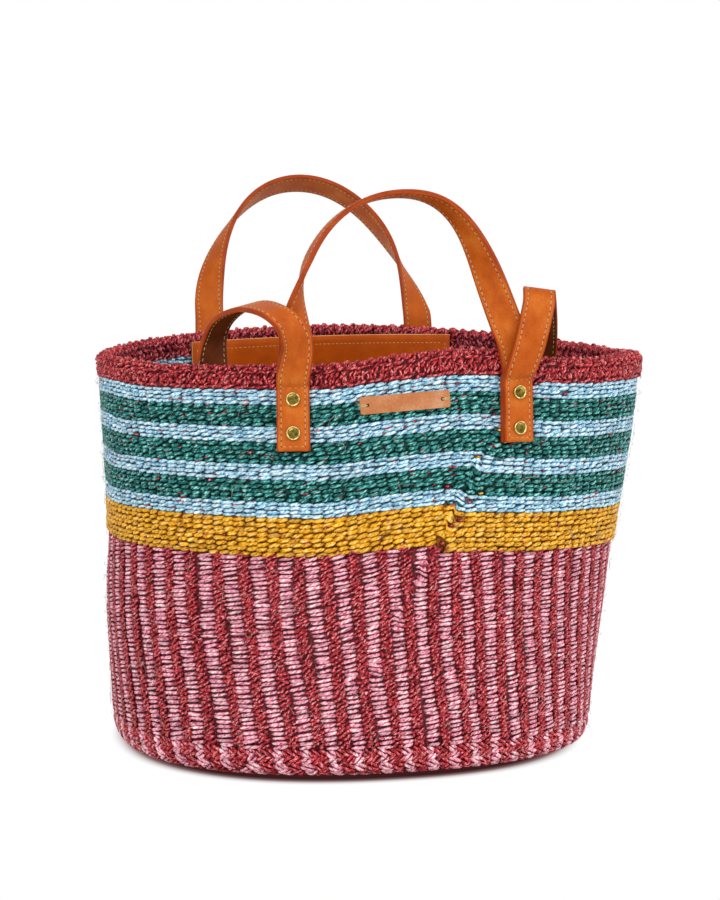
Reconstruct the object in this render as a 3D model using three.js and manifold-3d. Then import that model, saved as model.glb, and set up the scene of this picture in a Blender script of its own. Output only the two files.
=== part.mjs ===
// A woven sisal tote bag with riveted leather handles, in millimetres.
// The bag stands on the XY plane round the origin. Its front faces -Y and +Z is up.
import * as THREE from "three";
import { mergeVertices } from "three/addons/utils/BufferGeometryUtils.js";
import Module from "manifold-3d";

// Play kept between two pieces that touch.
const seatGap = 0.3;

// The woven body, from the floor up. Each band is one run of yarn of one colour.
const wallThickness = 5;
const footHeight = 18;
const lowerWallHeight = 125.7;
const mustardHeight = 25.8;
const blueHeight = 10.5;
const tealHeight = 14.3;
const rimHeight = 17;
const stripePairs = 3;
const baseThickness = 5;
const footThickness = 9;
const footSwell = 1.5;
const rimSwell = 2.2;

// The wall's outline: an oval at each height, as shares of the way from the floor to the rim.
const baseHalfWidth = 167;
const baseHalfDepth = 145;
const waistHalfWidth = 178;
const waistHalfDepth = 136;
const mouthHalfWidth = 192;
const mouthHalfDepth = 128;
const floorTuck = 6;
const stripeStep = 2;
const waistShare = 0.45;
const baseSquareness = 2.05;
const mouthSquareness = 2.35;
const mouthShiftX = 15;
const mouthShiftY = -3;

// How the rows of weaving rise and fall round the bag.
const rearRise = 16.5;
const frontBump = 7;
const frontBumpAngle = 280;
const frontBumpSpread = 16;
const rowTilt = 5;

// Straps: two plies of leather, sewn back to back.
const strapWidth = 21.5;
const plyThickness = 1.6;
const handleEndBottom = 210.5;
const rivetRowLow = 222.5;
const rivetRowHigh = 245;
const creaseBelowRim = 1;
const frontRightEndRaise = 3;
const frontRightFootShift = -3.5;
const frontHandleCentre = 6.2;
const frontHandleSpan = 148.6;
const frontHandleRise = 94.5;
const frontHandleLean = 6;
const rearHandleCentre = 2.6;
const rearHandleSpan = 162.6;
const rearHandleRise = 118.5;
const rearHandleLean = 30;
const hingeAboveRim = 8;
const hingeOffRim = 3.5;
// Next to where it flexes, a strap runs straight this far, so that it folds over without rubbing.
const hingeHeel = 3;

// The long strap: its ends lie over the front handle's, loop over the rim and hang inside.
// Where it bends to hang freely is set back from the front handle's flexing line, and below it.
const longStrapSetback = 43;
const longStrapDrop = 28;
const leftLoopReach = 46;
const leftLoopHeight = 21.5;
const rightLoopReach = 30.5;
const rightLoopHeight = 31;
const longStrapSag = 150;

// Rivets with a domed cap on both sides.
const rivetCapRadius = 4.5;
const rivetCapHeight = 1.6;
const rivetPostRadius = 1.8;
const rivetEngagement = 0.9;
const rivetBackShare = 0.4;

// The bare leather label and the pocket.
const labelLength = 60.5;
const labelWidth = 11.5;
const labelThickness = 1.5;
const labelCentreX = 4.3;
const labelLevel = 240;
const labelTilt = 4;
const labelHoleRadius = 1.3;
const labelHoleInset = 5;
const labelCornerRadius = 1.5;
const pocketWidth = 204;
const pocketCentreX = 5;
const pocketHeight = 120;
const pocketBelowRim = 12;
const pocketThickness = 1.6;
const pocketSlack = 19;
const pocketFullness = 0.75;
const pocketReliefRadius = 14;
// The share of the pocket's height from which it clears the rim's swell, and over which it does so.
const pocketClearFrom = 0.6;
const pocketClearOver = 0.3;

// How finely round things are cut.
const roundSteps = 60;
const rivetSides = 10;

const strapThickness = 2 * plyThickness + seatGap;
const stripesBottom = footHeight + lowerWallHeight + mustardHeight;
const rimBottom = stripesBottom + (stripePairs + 1) * blueHeight + stripePairs * tealHeight;
const rimTop = rimBottom + rimHeight;
const rimShoulder = rimHeight * 0.2;
const strapBend = rimBottom - creaseBelowRim;
const degrees = Math.PI / 180;

// How far the wall's flat facets lie inside its true curve.
const facetSag = mouthHalfWidth * (1 - Math.cos(Math.PI / roundSteps));

const leather = new THREE.MeshStandardMaterial({ color: 0xc8641e, roughness: 0.5 });
const lining = new THREE.MeshStandardMaterial({ color: 0x8a4310, roughness: 0.75 });
const labelLeather = new THREE.MeshStandardMaterial({ color: 0xcf7e3e, roughness: 0.6 });
const wine = new THREE.MeshStandardMaterial({ color: 0x8e2a3a, roughness: 0.9 });
const pinkWine = new THREE.MeshStandardMaterial({ color: 0xb8566a, roughness: 0.9 });
const mustard = new THREE.MeshStandardMaterial({ color: 0xd99a14, roughness: 0.9 });
const lightBlue = new THREE.MeshStandardMaterial({ color: 0x9cc8dc, roughness: 0.9 });
const teal = new THREE.MeshStandardMaterial({ color: 0x1e7a68, roughness: 0.9 });
const brass = new THREE.MeshStandardMaterial({ color: 0xb39a4a, roughness: 0.3, metalness: 1 });

const wasm = await Module();
wasm.setup();

const bag = new THREE.Group();

function place(name, geometry, material) {
  const mesh = new THREE.Mesh(geometry, material);
  mesh.name = name;
  bag.add(mesh);
  return mesh;
}

// Smooth step from 0 to 1.
function ease(share) {
  const s = THREE.MathUtils.clamp(share, 0, 1);
  return s * s * (3 - 2 * s);
}

// Half width, half depth, squareness and centre of the wall's outer oval at a height.
function ovalAt(level) {
  const share = level / rimTop;
  const low = ease(share / waistShare);
  const high = ease((share - waistShare) / (1 - waistShare));
  const tuck = floorTuck * (1 - ease(level / footHeight));
  const step = level > footHeight + lowerWallHeight ? stripeStep : 0;
  const mouthStep = step * (1 - high);
  return {
    halfWidth:
      THREE.MathUtils.lerp(THREE.MathUtils.lerp(baseHalfWidth, waistHalfWidth, low), mouthHalfWidth, high) -
      tuck +
      mouthStep,
    halfDepth:
      THREE.MathUtils.lerp(THREE.MathUtils.lerp(baseHalfDepth, waistHalfDepth, low), mouthHalfDepth, high) -
      tuck +
      mouthStep,
    power: THREE.MathUtils.lerp(baseSquareness, mouthSquareness, share),
    x: mouthShiftX * ease(share),
    y: mouthShiftY * ease(share),
  };
}

// How far a row of weaving at a height stands above its level, at an angle round the bag.
function riseAt(angle, level) {
  const share = level / rimTop;
  const rear = Math.max(0, Math.sin(angle)) ** 2 * rearRise;
  const away = (angle / degrees - frontBumpAngle) / frontBumpSpread;
  const bump = frontBump * Math.exp(-away * away);
  const tilt = rowTilt * Math.cos(angle) * 4 * share * (1 - share);
  return share ** 1.5 * (rear + bump) - tilt;
}

// A point of the wall, an inset in from its outer face. The angle runs from +X round by +Y.
function wallPoint(angle, level, inset) {
  const oval = ovalAt(level);
  const c = Math.cos(angle);
  const s = Math.sin(angle);
  const reach = (Math.abs(c) ** oval.power + Math.abs(s) ** oval.power) ** (-1 / oval.power);
  return new THREE.Vector3(
    oval.x + (oval.halfWidth - inset) * reach * c,
    oval.y + (oval.halfDepth - inset) * reach * s,
    level + riseAt(angle, level),
  );
}

// The angle at which the front (-1) or rear (+1) wall passes a given X.
function angleAtX(x, level, side) {
  let low = side < 0 ? Math.PI : 0;
  let high = side < 0 ? 2 * Math.PI : Math.PI;
  for (let i = 0; i < 40; i += 1) {
    const middle = (low + high) / 2;
    const ahead = (wallPoint(middle, level, 0).x - x) * side > 0;
    if (ahead) low = middle;
    else high = middle;
  }
  return (low + high) / 2;
}

// A frame on the wall's outer face: the point, the way out, and the level direction along it.
function wallFrame(x, level, side) {
  const angle = angleAtX(x, level, side);
  const step = 0.02;
  const along = wallPoint(angle + step, level, 0).sub(wallPoint(angle - step, level, 0));
  along.z = 0;
  along.normalize();
  const upward = wallPoint(angle, level + 1, 0).sub(wallPoint(angle, level - 1, 0));
  const out = new THREE.Vector3().crossVectors(along, upward).normalize();
  return { point: wallPoint(angle, level, 0), out, along: along.multiplyScalar(-side) };
}

// A closed surface from rows of points, each row a closed loop. Opposite sides of a loop are cut
// along the same diagonal, so that two twisted pieces that lie face to face stay apart.
function geometryOf(rows, closesOnItself) {
  const width = rows[0].length;
  const positions = rows.flat().flatMap((p) => [p.x, p.y, p.z]);
  const indices = [];
  const last = closesOnItself ? rows.length : rows.length - 1;
  for (let i = 0; i < last; i += 1) {
    const next = (i + 1) % rows.length;
    for (let j = 0; j < width; j += 1) {
      const k = (j + 1) % width;
      const a = i * width + j;
      const b = i * width + k;
      const c = next * width + k;
      const d = next * width + j;
      if (j < width / 2) indices.push(a, b, c, a, c, d);
      else indices.push(a, b, d, b, c, d);
    }
  }
  if (!closesOnItself) {
    const end = (rows.length - 1) * width;
    for (let j = 1; j < width - 1; j += 1) {
      indices.push(0, j + 1, j);
      indices.push(end, end + j, end + j + 1);
    }
  }
  // Faces are turned outwards, whichever way the rows run.
  const points = rows.flat();
  let volume = 0;
  for (let i = 0; i < indices.length; i += 3) {
    const [a, b, c] = [points[indices[i]], points[indices[i + 1]], points[indices[i + 2]]];
    volume += a.dot(b.clone().cross(c));
  }
  if (volume < 0) indices.reverse();
  const geometry = new THREE.BufferGeometry();
  geometry.setAttribute("position", new THREE.Float32BufferAttribute(positions, 3));
  geometry.setIndex(indices);
  return geometry;
}

function solidOf(geometry) {
  const bare = geometry.clone();
  bare.deleteAttribute("normal");
  bare.deleteAttribute("uv");
  const merged = mergeVertices(bare, 1e-4);
  return new wasm.Manifold(
    new wasm.Mesh({
      numProp: 3,
      vertProperties: new Float32Array(merged.attributes.position.array),
      triVerts: new Uint32Array(merged.index.array),
    }),
  );
}

function geometryOfSolid(solid) {
  const mesh = solid.getMesh();
  const geometry = new THREE.BufferGeometry();
  geometry.setAttribute("position", new THREE.Float32BufferAttribute(mesh.vertProperties, 3));
  geometry.setIndex(Array.from(mesh.triVerts));
  return geometry;
}

function cutFrom(geometry, cutters) {
  const cut = cutters.reduce((solid, cutter) => solid.subtract(solidOf(cutter)), solidOf(geometry));
  return geometryOfSolid(cut);
}

// A ring of the wall. Its section is a list of level and inset pairs, up the outside and down the inside.
function wallRing(section) {
  const rows = [];
  for (let i = 0; i < roundSteps; i += 1) {
    const angle = (i * 2 * Math.PI) / roundSteps;
    rows.push(section.map(([level, inset]) => wallPoint(angle, level, inset)));
  }
  return geometryOf(rows, true);
}

function bandSection(bottom, top, steps) {
  const outside = [];
  const inside = [];
  for (let i = 0; i <= steps; i += 1) {
    const level = THREE.MathUtils.lerp(bottom, top, i / steps);
    outside.push([level, 0]);
    inside.unshift([level, wallThickness]);
  }
  return outside.concat(inside);
}

// A flat strap ply along stations. Each station has a centre, a direction across and a face normal.
// A hinge end is rounded about the strap's middle, so that it turns in place.
function ply(stations, near, far, hingeStart, hingeEnd) {
  const middle = strapThickness / 2;
  const rows = stations.map((station, i) => {
    const before = stations[Math.max(i - 1, 0)].centre;
    const after = stations[Math.min(i + 1, stations.length - 1)].centre;
    const onward = after.clone().sub(before).normalize();
    let sign = 0;
    if (i === 0 && hingeStart) sign = -1;
    if (i === stations.length - 1 && hingeEnd) sign = 1;
    const corner = (acrossShare, depth) => {
      const reach = sign * Math.sqrt(Math.max(0, middle * middle - depth * depth));
      return station.centre
        .clone()
        .addScaledVector(station.across, (acrossShare * strapWidth) / 2)
        .addScaledVector(station.face, depth)
        .addScaledVector(onward, reach);
    };
    return [corner(-1, near), corner(1, near), corner(1, far), corner(-1, far)];
  });
  return geometryOf(rows, false);
}

// Both plies of a strap along the same stations, with holes for any rivets.
function strap(name, stations, cutters, hingeStart = false, hingeEnd = false) {
  const half = seatGap / 2;
  const outer = ply(stations, half, half + plyThickness, hingeStart, hingeEnd);
  const inner = ply(stations, -half - plyThickness, -half, hingeStart, hingeEnd);
  place(name + "_outer_ply", cutters.length ? cutFrom(outer, cutters) : outer, leather);
  place(name + "_lining", cutters.length ? cutFrom(inner, cutters) : inner, lining);
}

// Stations through a list of places, each with a centre and a direction across the strap.
function stationsThrough(places, count) {
  const centres = new THREE.CatmullRomCurve3(places.map((entry) => entry.centre));
  const directions = new THREE.CatmullRomCurve3(places.map((entry) => entry.across));
  const stations = [];
  for (let i = 0; i <= count; i += 1) {
    const share = i / count;
    const onward = centres.getTangent(share);
    const wanted = directions.getPoint(share);
    const across = wanted.clone().addScaledVector(onward, -wanted.dot(onward)).normalize();
    const face = new THREE.Vector3().crossVectors(across, onward).normalize();
    stations.push({ centre: centres.getPoint(share), across, face });
  }
  return stations;
}

const xAxis = new THREE.Vector3(1, 0, 0);

// Where a handle flexes: a level line just above the rim, in front of or behind it.
function hingeOf(centre, span, side) {
  const ends = [-1, 1].map((way) => wallFrame(centre + (way * span) / 2, rimTop, side));
  const reach = Math.max(...ends.map((end) => end.point.y * side)) + rimSwell + hingeOffRim;
  const height = Math.max(...ends.map((end) => end.point.z)) + hingeAboveRim;
  return { y: side * reach, z: height };
}

const frontHinge = hingeOf(frontHandleCentre, frontHandleSpan, -1);
const rearHinge = hingeOf(rearHandleCentre, rearHandleSpan, 1);

// The frame of each rivet row at one strap end.
function rivetRows(end) {
  return [rivetRowLow, rivetRowHigh].map((level) => wallFrame(end.x, level, end.side));
}

function turned(geometry, frame, out) {
  geometry.rotateX(Math.PI / 2);
  const facing = new THREE.Quaternion().setFromUnitVectors(new THREE.Vector3(0, 0, 1), frame.out);
  geometry.applyQuaternion(facing);
  const at = frame.point.clone().addScaledVector(frame.out, out);
  geometry.translate(at.x, at.y, at.z);
  return geometry;
}

// A cylinder that clears a rivet's post, through leather and wall.
function postHole(frame) {
  const reach = 4 * strapThickness + 4 * wallThickness;
  const hole = new THREE.CylinderGeometry(
    rivetPostRadius + seatGap,
    rivetPostRadius + seatGap,
    reach,
    rivetSides,
  );
  return turned(hole, frame, 0);
}

// The domed cap and its post, then the back cap that is pressed on inside the wall.
function rivet(name, frame, leatherDepth) {
  const r = rivetCapRadius;
  const h = rivetCapHeight;
  const postLength = leatherDepth + wallThickness + facetSag + seatGap + rivetEngagement;
  const cap = [
    new THREE.Vector2(0, -postLength),
    new THREE.Vector2(rivetPostRadius, -postLength),
    new THREE.Vector2(rivetPostRadius, 0),
    new THREE.Vector2(r, 0),
    new THREE.Vector2(r, h * 0.35),
    new THREE.Vector2(r * 0.8, h * 0.85),
    new THREE.Vector2(0, h),
  ];
  place(name + "_cap", turned(new THREE.LatheGeometry(cap, rivetSides), frame, leatherDepth), brass);
  const bore = rivetPostRadius + seatGap;
  const floor = -rivetEngagement - seatGap;
  const back = [
    new THREE.Vector2(0, floor - h * rivetBackShare),
    new THREE.Vector2(r * 0.8, floor - h * 0.3),
    new THREE.Vector2(r, floor * 0.5),
    new THREE.Vector2(r, 0),
    new THREE.Vector2(bore, 0),
    new THREE.Vector2(bore, floor),
    new THREE.Vector2(0, floor),
  ];
  const inside = -wallThickness - facetSag - seatGap;
  place(name + "_back", turned(new THREE.LatheGeometry(back, rivetSides), frame, inside), brass);
}

// A strap end, flat on the wall and then out over the rim. Layer 0 lies on the wall, layer 1 over it.
function flatEndStations(end, layer) {
  const { x, side, raise } = end;
  const lift = seatGap + strapThickness / 2 + layer * (strapThickness + seatGap);
  const stationAt = (level, out) => {
    const frame = wallFrame(x, level, side);
    const centre = frame.point.clone().addScaledVector(frame.out, out);
    return { centre, across: frame.along, face: frame.out };
  };
  const levels = [handleEndBottom + raise, rivetRowLow, rivetRowHigh, strapBend];
  const flat = levels.map((level) => stationAt(level, lift));
  flat.push(stationAt(rimBottom + rimShoulder, lift + rimSwell + seatGap * (1 + 3 * layer)));
  return flat;
}

// A handle's fixed end goes on up to where the handle flexes.
function handleEndStations(end) {
  const stations = flatEndStations(end, 0);
  const top = end.hinge.z - strapThickness / 2 - seatGap;
  const face = new THREE.Vector3(0, end.side, 0);
  stations.push({ centre: new THREE.Vector3(end.footX, end.hinge.y, top), across: xAxis, face });
  return stations;
}

// The handle's arch above its flexing line, from two Bezier halves that meet at the crown.
function archStations(feet, rise, lean, hinge, side, shape) {
  const middle = (feet[0] + feet[1]) / 2;
  const half = (feet[1] - feet[0]) / 2;
  const up = new THREE.Vector3(0, Math.sin(lean * degrees), Math.cos(lean * degrees));
  const at = (along, height) =>
    new THREE.Vector3(middle + along, hinge.y, hinge.z).addScaledVector(up, height * rise);
  const path = new THREE.CurvePath();
  path.add(
    new THREE.CubicBezierCurve3(
      at(-half, 0),
      at(-half + shape.leftLean, shape.leftPull),
      at(shape.crown - shape.leftRound, 1),
      at(shape.crown, 1),
    ),
  );
  path.add(
    new THREE.CubicBezierCurve3(
      at(shape.crown, 1),
      at(shape.crown + shape.rightRound, 1),
      at(half - shape.rightLean, shape.rightPull),
      at(half, 0),
    ),
  );
  const depth = new THREE.Vector3().crossVectors(xAxis, up);
  const steps = 30;
  const stations = [];
  for (let i = 0; i <= steps; i += 1) {
    const share = i / steps;
    const point = path.getPointAt(share);
    const onward = path.getTangentAt(share);
    const outward = new THREE.Vector3().crossVectors(depth, onward).normalize();
    const fromEnd = share < 0.5 ? share / shape.leftTwist : (1 - share) / shape.rightTwist;
    const turn = Math.sin(Math.min(1, fromEnd) * (Math.PI / 2)) * (Math.PI / 2);
    const outside = depth.clone().multiplyScalar(-side);
    const face = outside.multiplyScalar(Math.cos(turn)).addScaledVector(outward, -Math.sin(turn));
    const across = new THREE.Vector3().crossVectors(face, onward).normalize();
    stations.push({ centre: point, across, face: face.normalize() });
  }
  for (const end of [stations[0], stations[steps]]) {
    const way = Math.sign(end.across.x);
    end.across.copy(xAxis).multiplyScalar(way);
  }
  const heelShare = hingeHeel / path.getLength();
  const [start, between, end] = [stations[0], stations.slice(1, steps), stations[steps]];
  const startHeel = { ...start, centre: path.getPointAt(heelShare) };
  const endHeel = { ...end, centre: path.getPointAt(1 - heelShare) };
  return [start, startHeel, ...between, endHeel, end];
}

// The woven body.
const gap = seatGap / 2;
place(
  "foot_braid",
  wallRing([
    [0, footSwell],
    [footHeight * 0.25, -footSwell],
    [footHeight * 0.7, -footSwell],
    [footHeight - gap, 0],
    [footHeight - gap, wallThickness],
    [baseThickness, footThickness],
    [0, footThickness],
  ]),
  wine,
);

function basePlate() {
  const rows = [0, baseThickness].map((level) => {
    const loop = [];
    for (let i = 0; i < roundSteps; i += 1) {
      const angle = (i * 2 * Math.PI) / roundSteps;
      const point = wallPoint(angle, 0, footThickness + seatGap);
      loop.push(new THREE.Vector3(point.x, point.y, level));
    }
    return loop;
  });
  return geometryOf(rows, false);
}
place("basket_base", basePlate(), pinkWine);

let level = footHeight;
place("lower_wall", wallRing(bandSection(level + gap, level + lowerWallHeight - gap, 4)), pinkWine);
level += lowerWallHeight;
place("mustard_band", wallRing(bandSection(level + gap, level + mustardHeight - gap, 1)), mustard);
level += mustardHeight;

// The strap ends: two at the front, under the long strap's, and two at the rear.
const frontLeft = { name: "front_left", x: frontHandleCentre - frontHandleSpan / 2, side: -1 };
const frontRight = { name: "front_right", x: frontHandleCentre + frontHandleSpan / 2, side: -1 };
const rearLeft = { name: "rear_left", x: rearHandleCentre - rearHandleSpan / 2, side: 1 };
const rearRight = { name: "rear_right", x: rearHandleCentre + rearHandleSpan / 2, side: 1 };
const strapEnds = [frontLeft, frontRight, rearLeft, rearRight];
for (const end of strapEnds) {
  end.hinge = end.side < 0 ? frontHinge : rearHinge;
  end.raise = 0;
  end.footX = end.x;
}
frontRight.raise = frontRightEndRaise;
frontRight.footX += frontRightFootShift;
const allHoles = strapEnds.flatMap((end) => rivetRows(end).map(postHole));

for (let pair = stripePairs; pair >= 0; pair -= 1) {
  const blue = wallRing(bandSection(level + gap, level + blueHeight - gap, 1));
  place("light_blue_band_" + (pair + 1), pair < 2 ? cutFrom(blue, allHoles) : blue, lightBlue);
  level += blueHeight;
  if (pair > 0) {
    const green = wallRing(bandSection(level + gap, level + tealHeight - gap, 1));
    place("teal_band_" + pair, pair < 2 ? cutFrom(green, allHoles) : green, teal);
    level += tealHeight;
  }
}

place(
  "rim",
  wallRing([
    [rimBottom + gap, 0],
    [rimBottom + rimShoulder, -rimSwell],
    [rimTop - rimShoulder, -rimSwell],
    [rimTop, wallThickness * 0.25],
    [rimTop, wallThickness * 0.75],
    [rimTop - rimShoulder, wallThickness + rimSwell],
    [rimBottom + rimShoulder, wallThickness + rimSwell],
    [rimBottom + gap, wallThickness],
  ]),
  wine,
);

// The handles' fixed ends and their rivets.
for (const end of strapEnds) {
  const rows = rivetRows(end);
  const holes = rows.map(postHole);
  strap(end.name + "_handle_end", handleEndStations(end), holes);
  const layers = end.side < 0 ? 2 : 1;
  const leatherDepth = layers * (strapThickness + seatGap) + seatGap;
  rivet(end.name + "_lower_rivet", rows[0], leatherDepth);
  rivet(end.name + "_upper_rivet", rows[1], leatherDepth);
}

// The arches that swing.
const frontShape = {
  crown: 2,
  leftLean: -2,
  leftPull: 0.52,
  leftRound: 50,
  leftTwist: 0.22,
  rightLean: 20,
  rightPull: 0.55,
  rightRound: 44,
  rightTwist: 0.5,
};
strap(
  "front_handle",
  archStations(
    [frontLeft.footX, frontRight.footX],
    frontHandleRise,
    frontHandleLean,
    frontHinge,
    -1,
    frontShape,
  ),
  [],
  true,
  true,
);
const rearShape = {
  crown: 1,
  leftLean: 2,
  leftPull: 0.5,
  leftRound: 47,
  leftTwist: 0.42,
  rightLean: 3,
  rightPull: 0.53,
  rightRound: 46,
  rightTwist: 0.29,
};
strap(
  "rear_handle",
  archStations(
    [rearLeft.footX, rearRight.footX],
    rearHandleRise,
    rearHandleLean,
    rearHinge,
    1,
    rearShape,
  ),
  [],
  true,
  true,
);

// The long strap's ends: up over the rim in a loop, and down inside to where it hangs.
// Each place is given from the strap end: sideways, back from the handle's flexing line, and above it.
// Skew turns the strap's width front to back there, and roll tips it up.
const loopFront = -strapThickness - 5 * seatGap;
const hangY = frontHinge.y + longStrapSetback;
const hangZ = frontHinge.z - longStrapDrop;

function longStrapEnd(tab, way, reach, height, bends) {
  const { x } = tab;
  const flat = flatEndStations(tab, 1);
  const shoulder = flat.pop();
  const places = [shoulder];
  for (const bend of bends) {
    places.push({
      centre: new THREE.Vector3(
        x + way * bend.aside * reach,
        frontHinge.y + loopFront + bend.back * (longStrapSetback - loopFront),
        frontHinge.z + bend.above * height,
      ),
      across: new THREE.Vector3(1, bend.skew, bend.roll).normalize(),
    });
  }
  const end = new THREE.Vector3(x + way * reach, hangY, hangZ + strapThickness / 2 + seatGap);
  const heel = end.clone().setZ(end.z + hingeHeel);
  places.push({ centre: heel, across: xAxis }, { centre: end, across: xAxis });
  const loop = stationsThrough(places, 24);
  return flat.concat(loop);
}

const leftBends = [
  { aside: 0.03, back: -0.09, above: -0.22, skew: 0.18, roll: 0 },
  { aside: 0.08, back: -0.17, above: 0.12, skew: 0.24, roll: 0 },
  { aside: 0.28, back: -0.22, above: 0.7, skew: 0.36, roll: 0.12 },
  { aside: 0.58, back: 0.22, above: 1, skew: 0.6, roll: 0.25 },
  { aside: 0.87, back: 0.74, above: 0.64, skew: 0.75, roll: 0.1 },
  { aside: 0.97, back: 1.02, above: 0.1, skew: 0.8, roll: 0 },
  { aside: 1, back: 1.06, above: -0.42, skew: 0.4, roll: 0 },
];
const rightBends = [
  { aside: 0.22, back: -0.03, above: -0.16, skew: 0, roll: 0 },
  { aside: 0.3, back: -0.03, above: 0.16, skew: -0.05, roll: 0 },
  { aside: 0.46, back: 0.03, above: 0.74, skew: -0.12, roll: -0.1 },
  { aside: 0.54, back: 0.17, above: 1, skew: -0.14, roll: -0.12 },
  { aside: 0.66, back: 0.35, above: 0.76, skew: -0.12, roll: -0.1 },
  { aside: 0.88, back: 0.68, above: 0.16, skew: -0.05, roll: 0 },
  { aside: 1, back: 0.91, above: -0.26, skew: 0, roll: 0 },
];
const longEnds = [
  { end: frontLeft, way: -1, reach: leftLoopReach, height: leftLoopHeight, bends: leftBends },
  { end: frontRight, way: 1, reach: rightLoopReach, height: rightLoopHeight, bends: rightBends },
];
for (const { end, way, reach, height, bends } of longEnds) {
  const holes = rivetRows(end).map(postHole);
  const side = way < 0 ? "left" : "right";
  strap("long_strap_" + side + "_end", longStrapEnd(end, way, reach, height, bends), holes);
}

// The part that hangs inside: half an ellipse, turned edge on below its ends.
function hangingStations() {
  const left = frontLeft.x - leftLoopReach;
  const right = frontRight.x + rightLoopReach;
  const half = (right - left) / 2;
  const steps = 28;
  const twistShare = 0.3;
  const stations = [];
  for (let i = 0; i <= steps; i += 1) {
    const share = i / steps;
    const angle = share * Math.PI;
    const centre = new THREE.Vector3(
      (left + right) / 2 - half * Math.cos(angle),
      hangY,
      hangZ - longStrapSag * Math.sin(angle),
    );
    const onward = new THREE.Vector3(half * Math.sin(angle), 0, -longStrapSag * Math.cos(angle));
    onward.normalize();
    const outward = new THREE.Vector3(onward.z, 0, -onward.x);
    const turn = ease(Math.min(share, 1 - share) / twistShare) * (Math.PI / 2);
    const inside = new THREE.Vector3(0, 1, 0);
    const face = inside.multiplyScalar(Math.cos(turn)).addScaledVector(outward, Math.sin(turn));
    stations.push({ centre, across: new THREE.Vector3().crossVectors(face, onward), face });
  }
  return stations;
}
strap("long_strap", hangingStations(), [], true, true);

// The bare label: a flat strip with a hole near each end for the thread that ties it on.
function label() {
  const x = labelLength / 2;
  const y = labelWidth / 2;
  const r = labelCornerRadius;
  const outline = new THREE.Shape();
  outline.moveTo(-x + r, -y);
  outline.lineTo(x - r, -y);
  outline.absarc(x - r, -y + r, r, -Math.PI / 2, 0);
  outline.lineTo(x, y - r);
  outline.absarc(x - r, y - r, r, 0, Math.PI / 2);
  outline.lineTo(-x + r, y);
  outline.absarc(-x + r, y - r, r, Math.PI / 2, Math.PI);
  outline.lineTo(-x, -y + r);
  outline.absarc(-x + r, -y + r, r, Math.PI, Math.PI * 1.5);
  for (const way of [-1, 1]) {
    const hole = new THREE.Path();
    hole.absarc(way * (x - labelHoleInset), 0, labelHoleRadius, 0, Math.PI * 2, true);
    outline.holes.push(hole);
  }
  const geometry = new THREE.ExtrudeGeometry(outline, {
    depth: labelThickness,
    bevelEnabled: false,
    curveSegments: 3,
  });
  const frame = wallFrame(labelCentreX, labelLevel, -1);
  const upward = new THREE.Vector3().crossVectors(frame.out, frame.along).normalize();
  const basis = new THREE.Matrix4().makeBasis(frame.along, upward, frame.out);
  geometry.rotateZ(labelTilt * degrees);
  geometry.applyMatrix4(basis);
  const at = frame.point.clone().addScaledVector(frame.out, seatGap);
  geometry.translate(at.x, at.y, at.z);
  return geometry;
}
place("label", label(), labelLeather);

// The slip pocket: one panel sewn to the rear wall along its sides and foot, slack at its mouth.
// It stands off where the rear handle's rivets come through the wall behind it.
function pocket() {
  const columns = 20;
  const rows = 8;
  const topZ = rimTop + rearRise - pocketBelowRim;
  const rivets = [rearLeft, rearRight].flatMap((end) => rivetRows(end).map((frame) => frame.point));
  const relief = rivetEngagement + rivetCapHeight * rivetBackShare + 2 * seatGap;
  const reliefAt = (point) => {
    const away = Math.min(...rivets.map((rivetPoint) => rivetPoint.distanceTo(point)));
    return relief * ease(2 - away / pocketReliefRadius);
  };
  const at = (u, v, lift) => {
    const x = pocketCentreX + (u * pocketWidth) / 2;
    const z = topZ - (1 - v) * pocketHeight;
    let level = z;
    for (let i = 0; i < 4; i += 1) level = z - riseAt(angleAtX(x, level, 1), level);
    const frame = wallFrame(x, level, 1);
    const overRim = ease((v - pocketClearFrom) / pocketClearOver) * rimSwell;
    const slack = pocketSlack * (1 - u * u) * v ** pocketFullness;
    const clear = Math.max(slack, reliefAt(frame.point));
    const depth = wallThickness + facetSag + seatGap + overRim + clear + lift;
    const level2d = frame.out.clone().setZ(0).normalize();
    return frame.point.clone().addScaledVector(level2d, -depth).setZ(z);
  };
  const loops = [];
  for (let i = 0; i <= columns; i += 1) {
    const u = (2 * i) / columns - 1;
    const back = [];
    const front = [];
    for (let j = 0; j <= rows; j += 1) {
      back.push(at(u, j / rows, 0));
      front.unshift(at(u, j / rows, pocketThickness));
    }
    loops.push(back.concat(front));
  }
  return geometryOf(loops, false);
}
place("pocket_panel", pocket(), leather);

export default bag;
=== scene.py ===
"""A woven sisal tote bag with riveted leather handles. Sizes are in millimetres until a mesh is made."""
import itertools
import math

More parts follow.
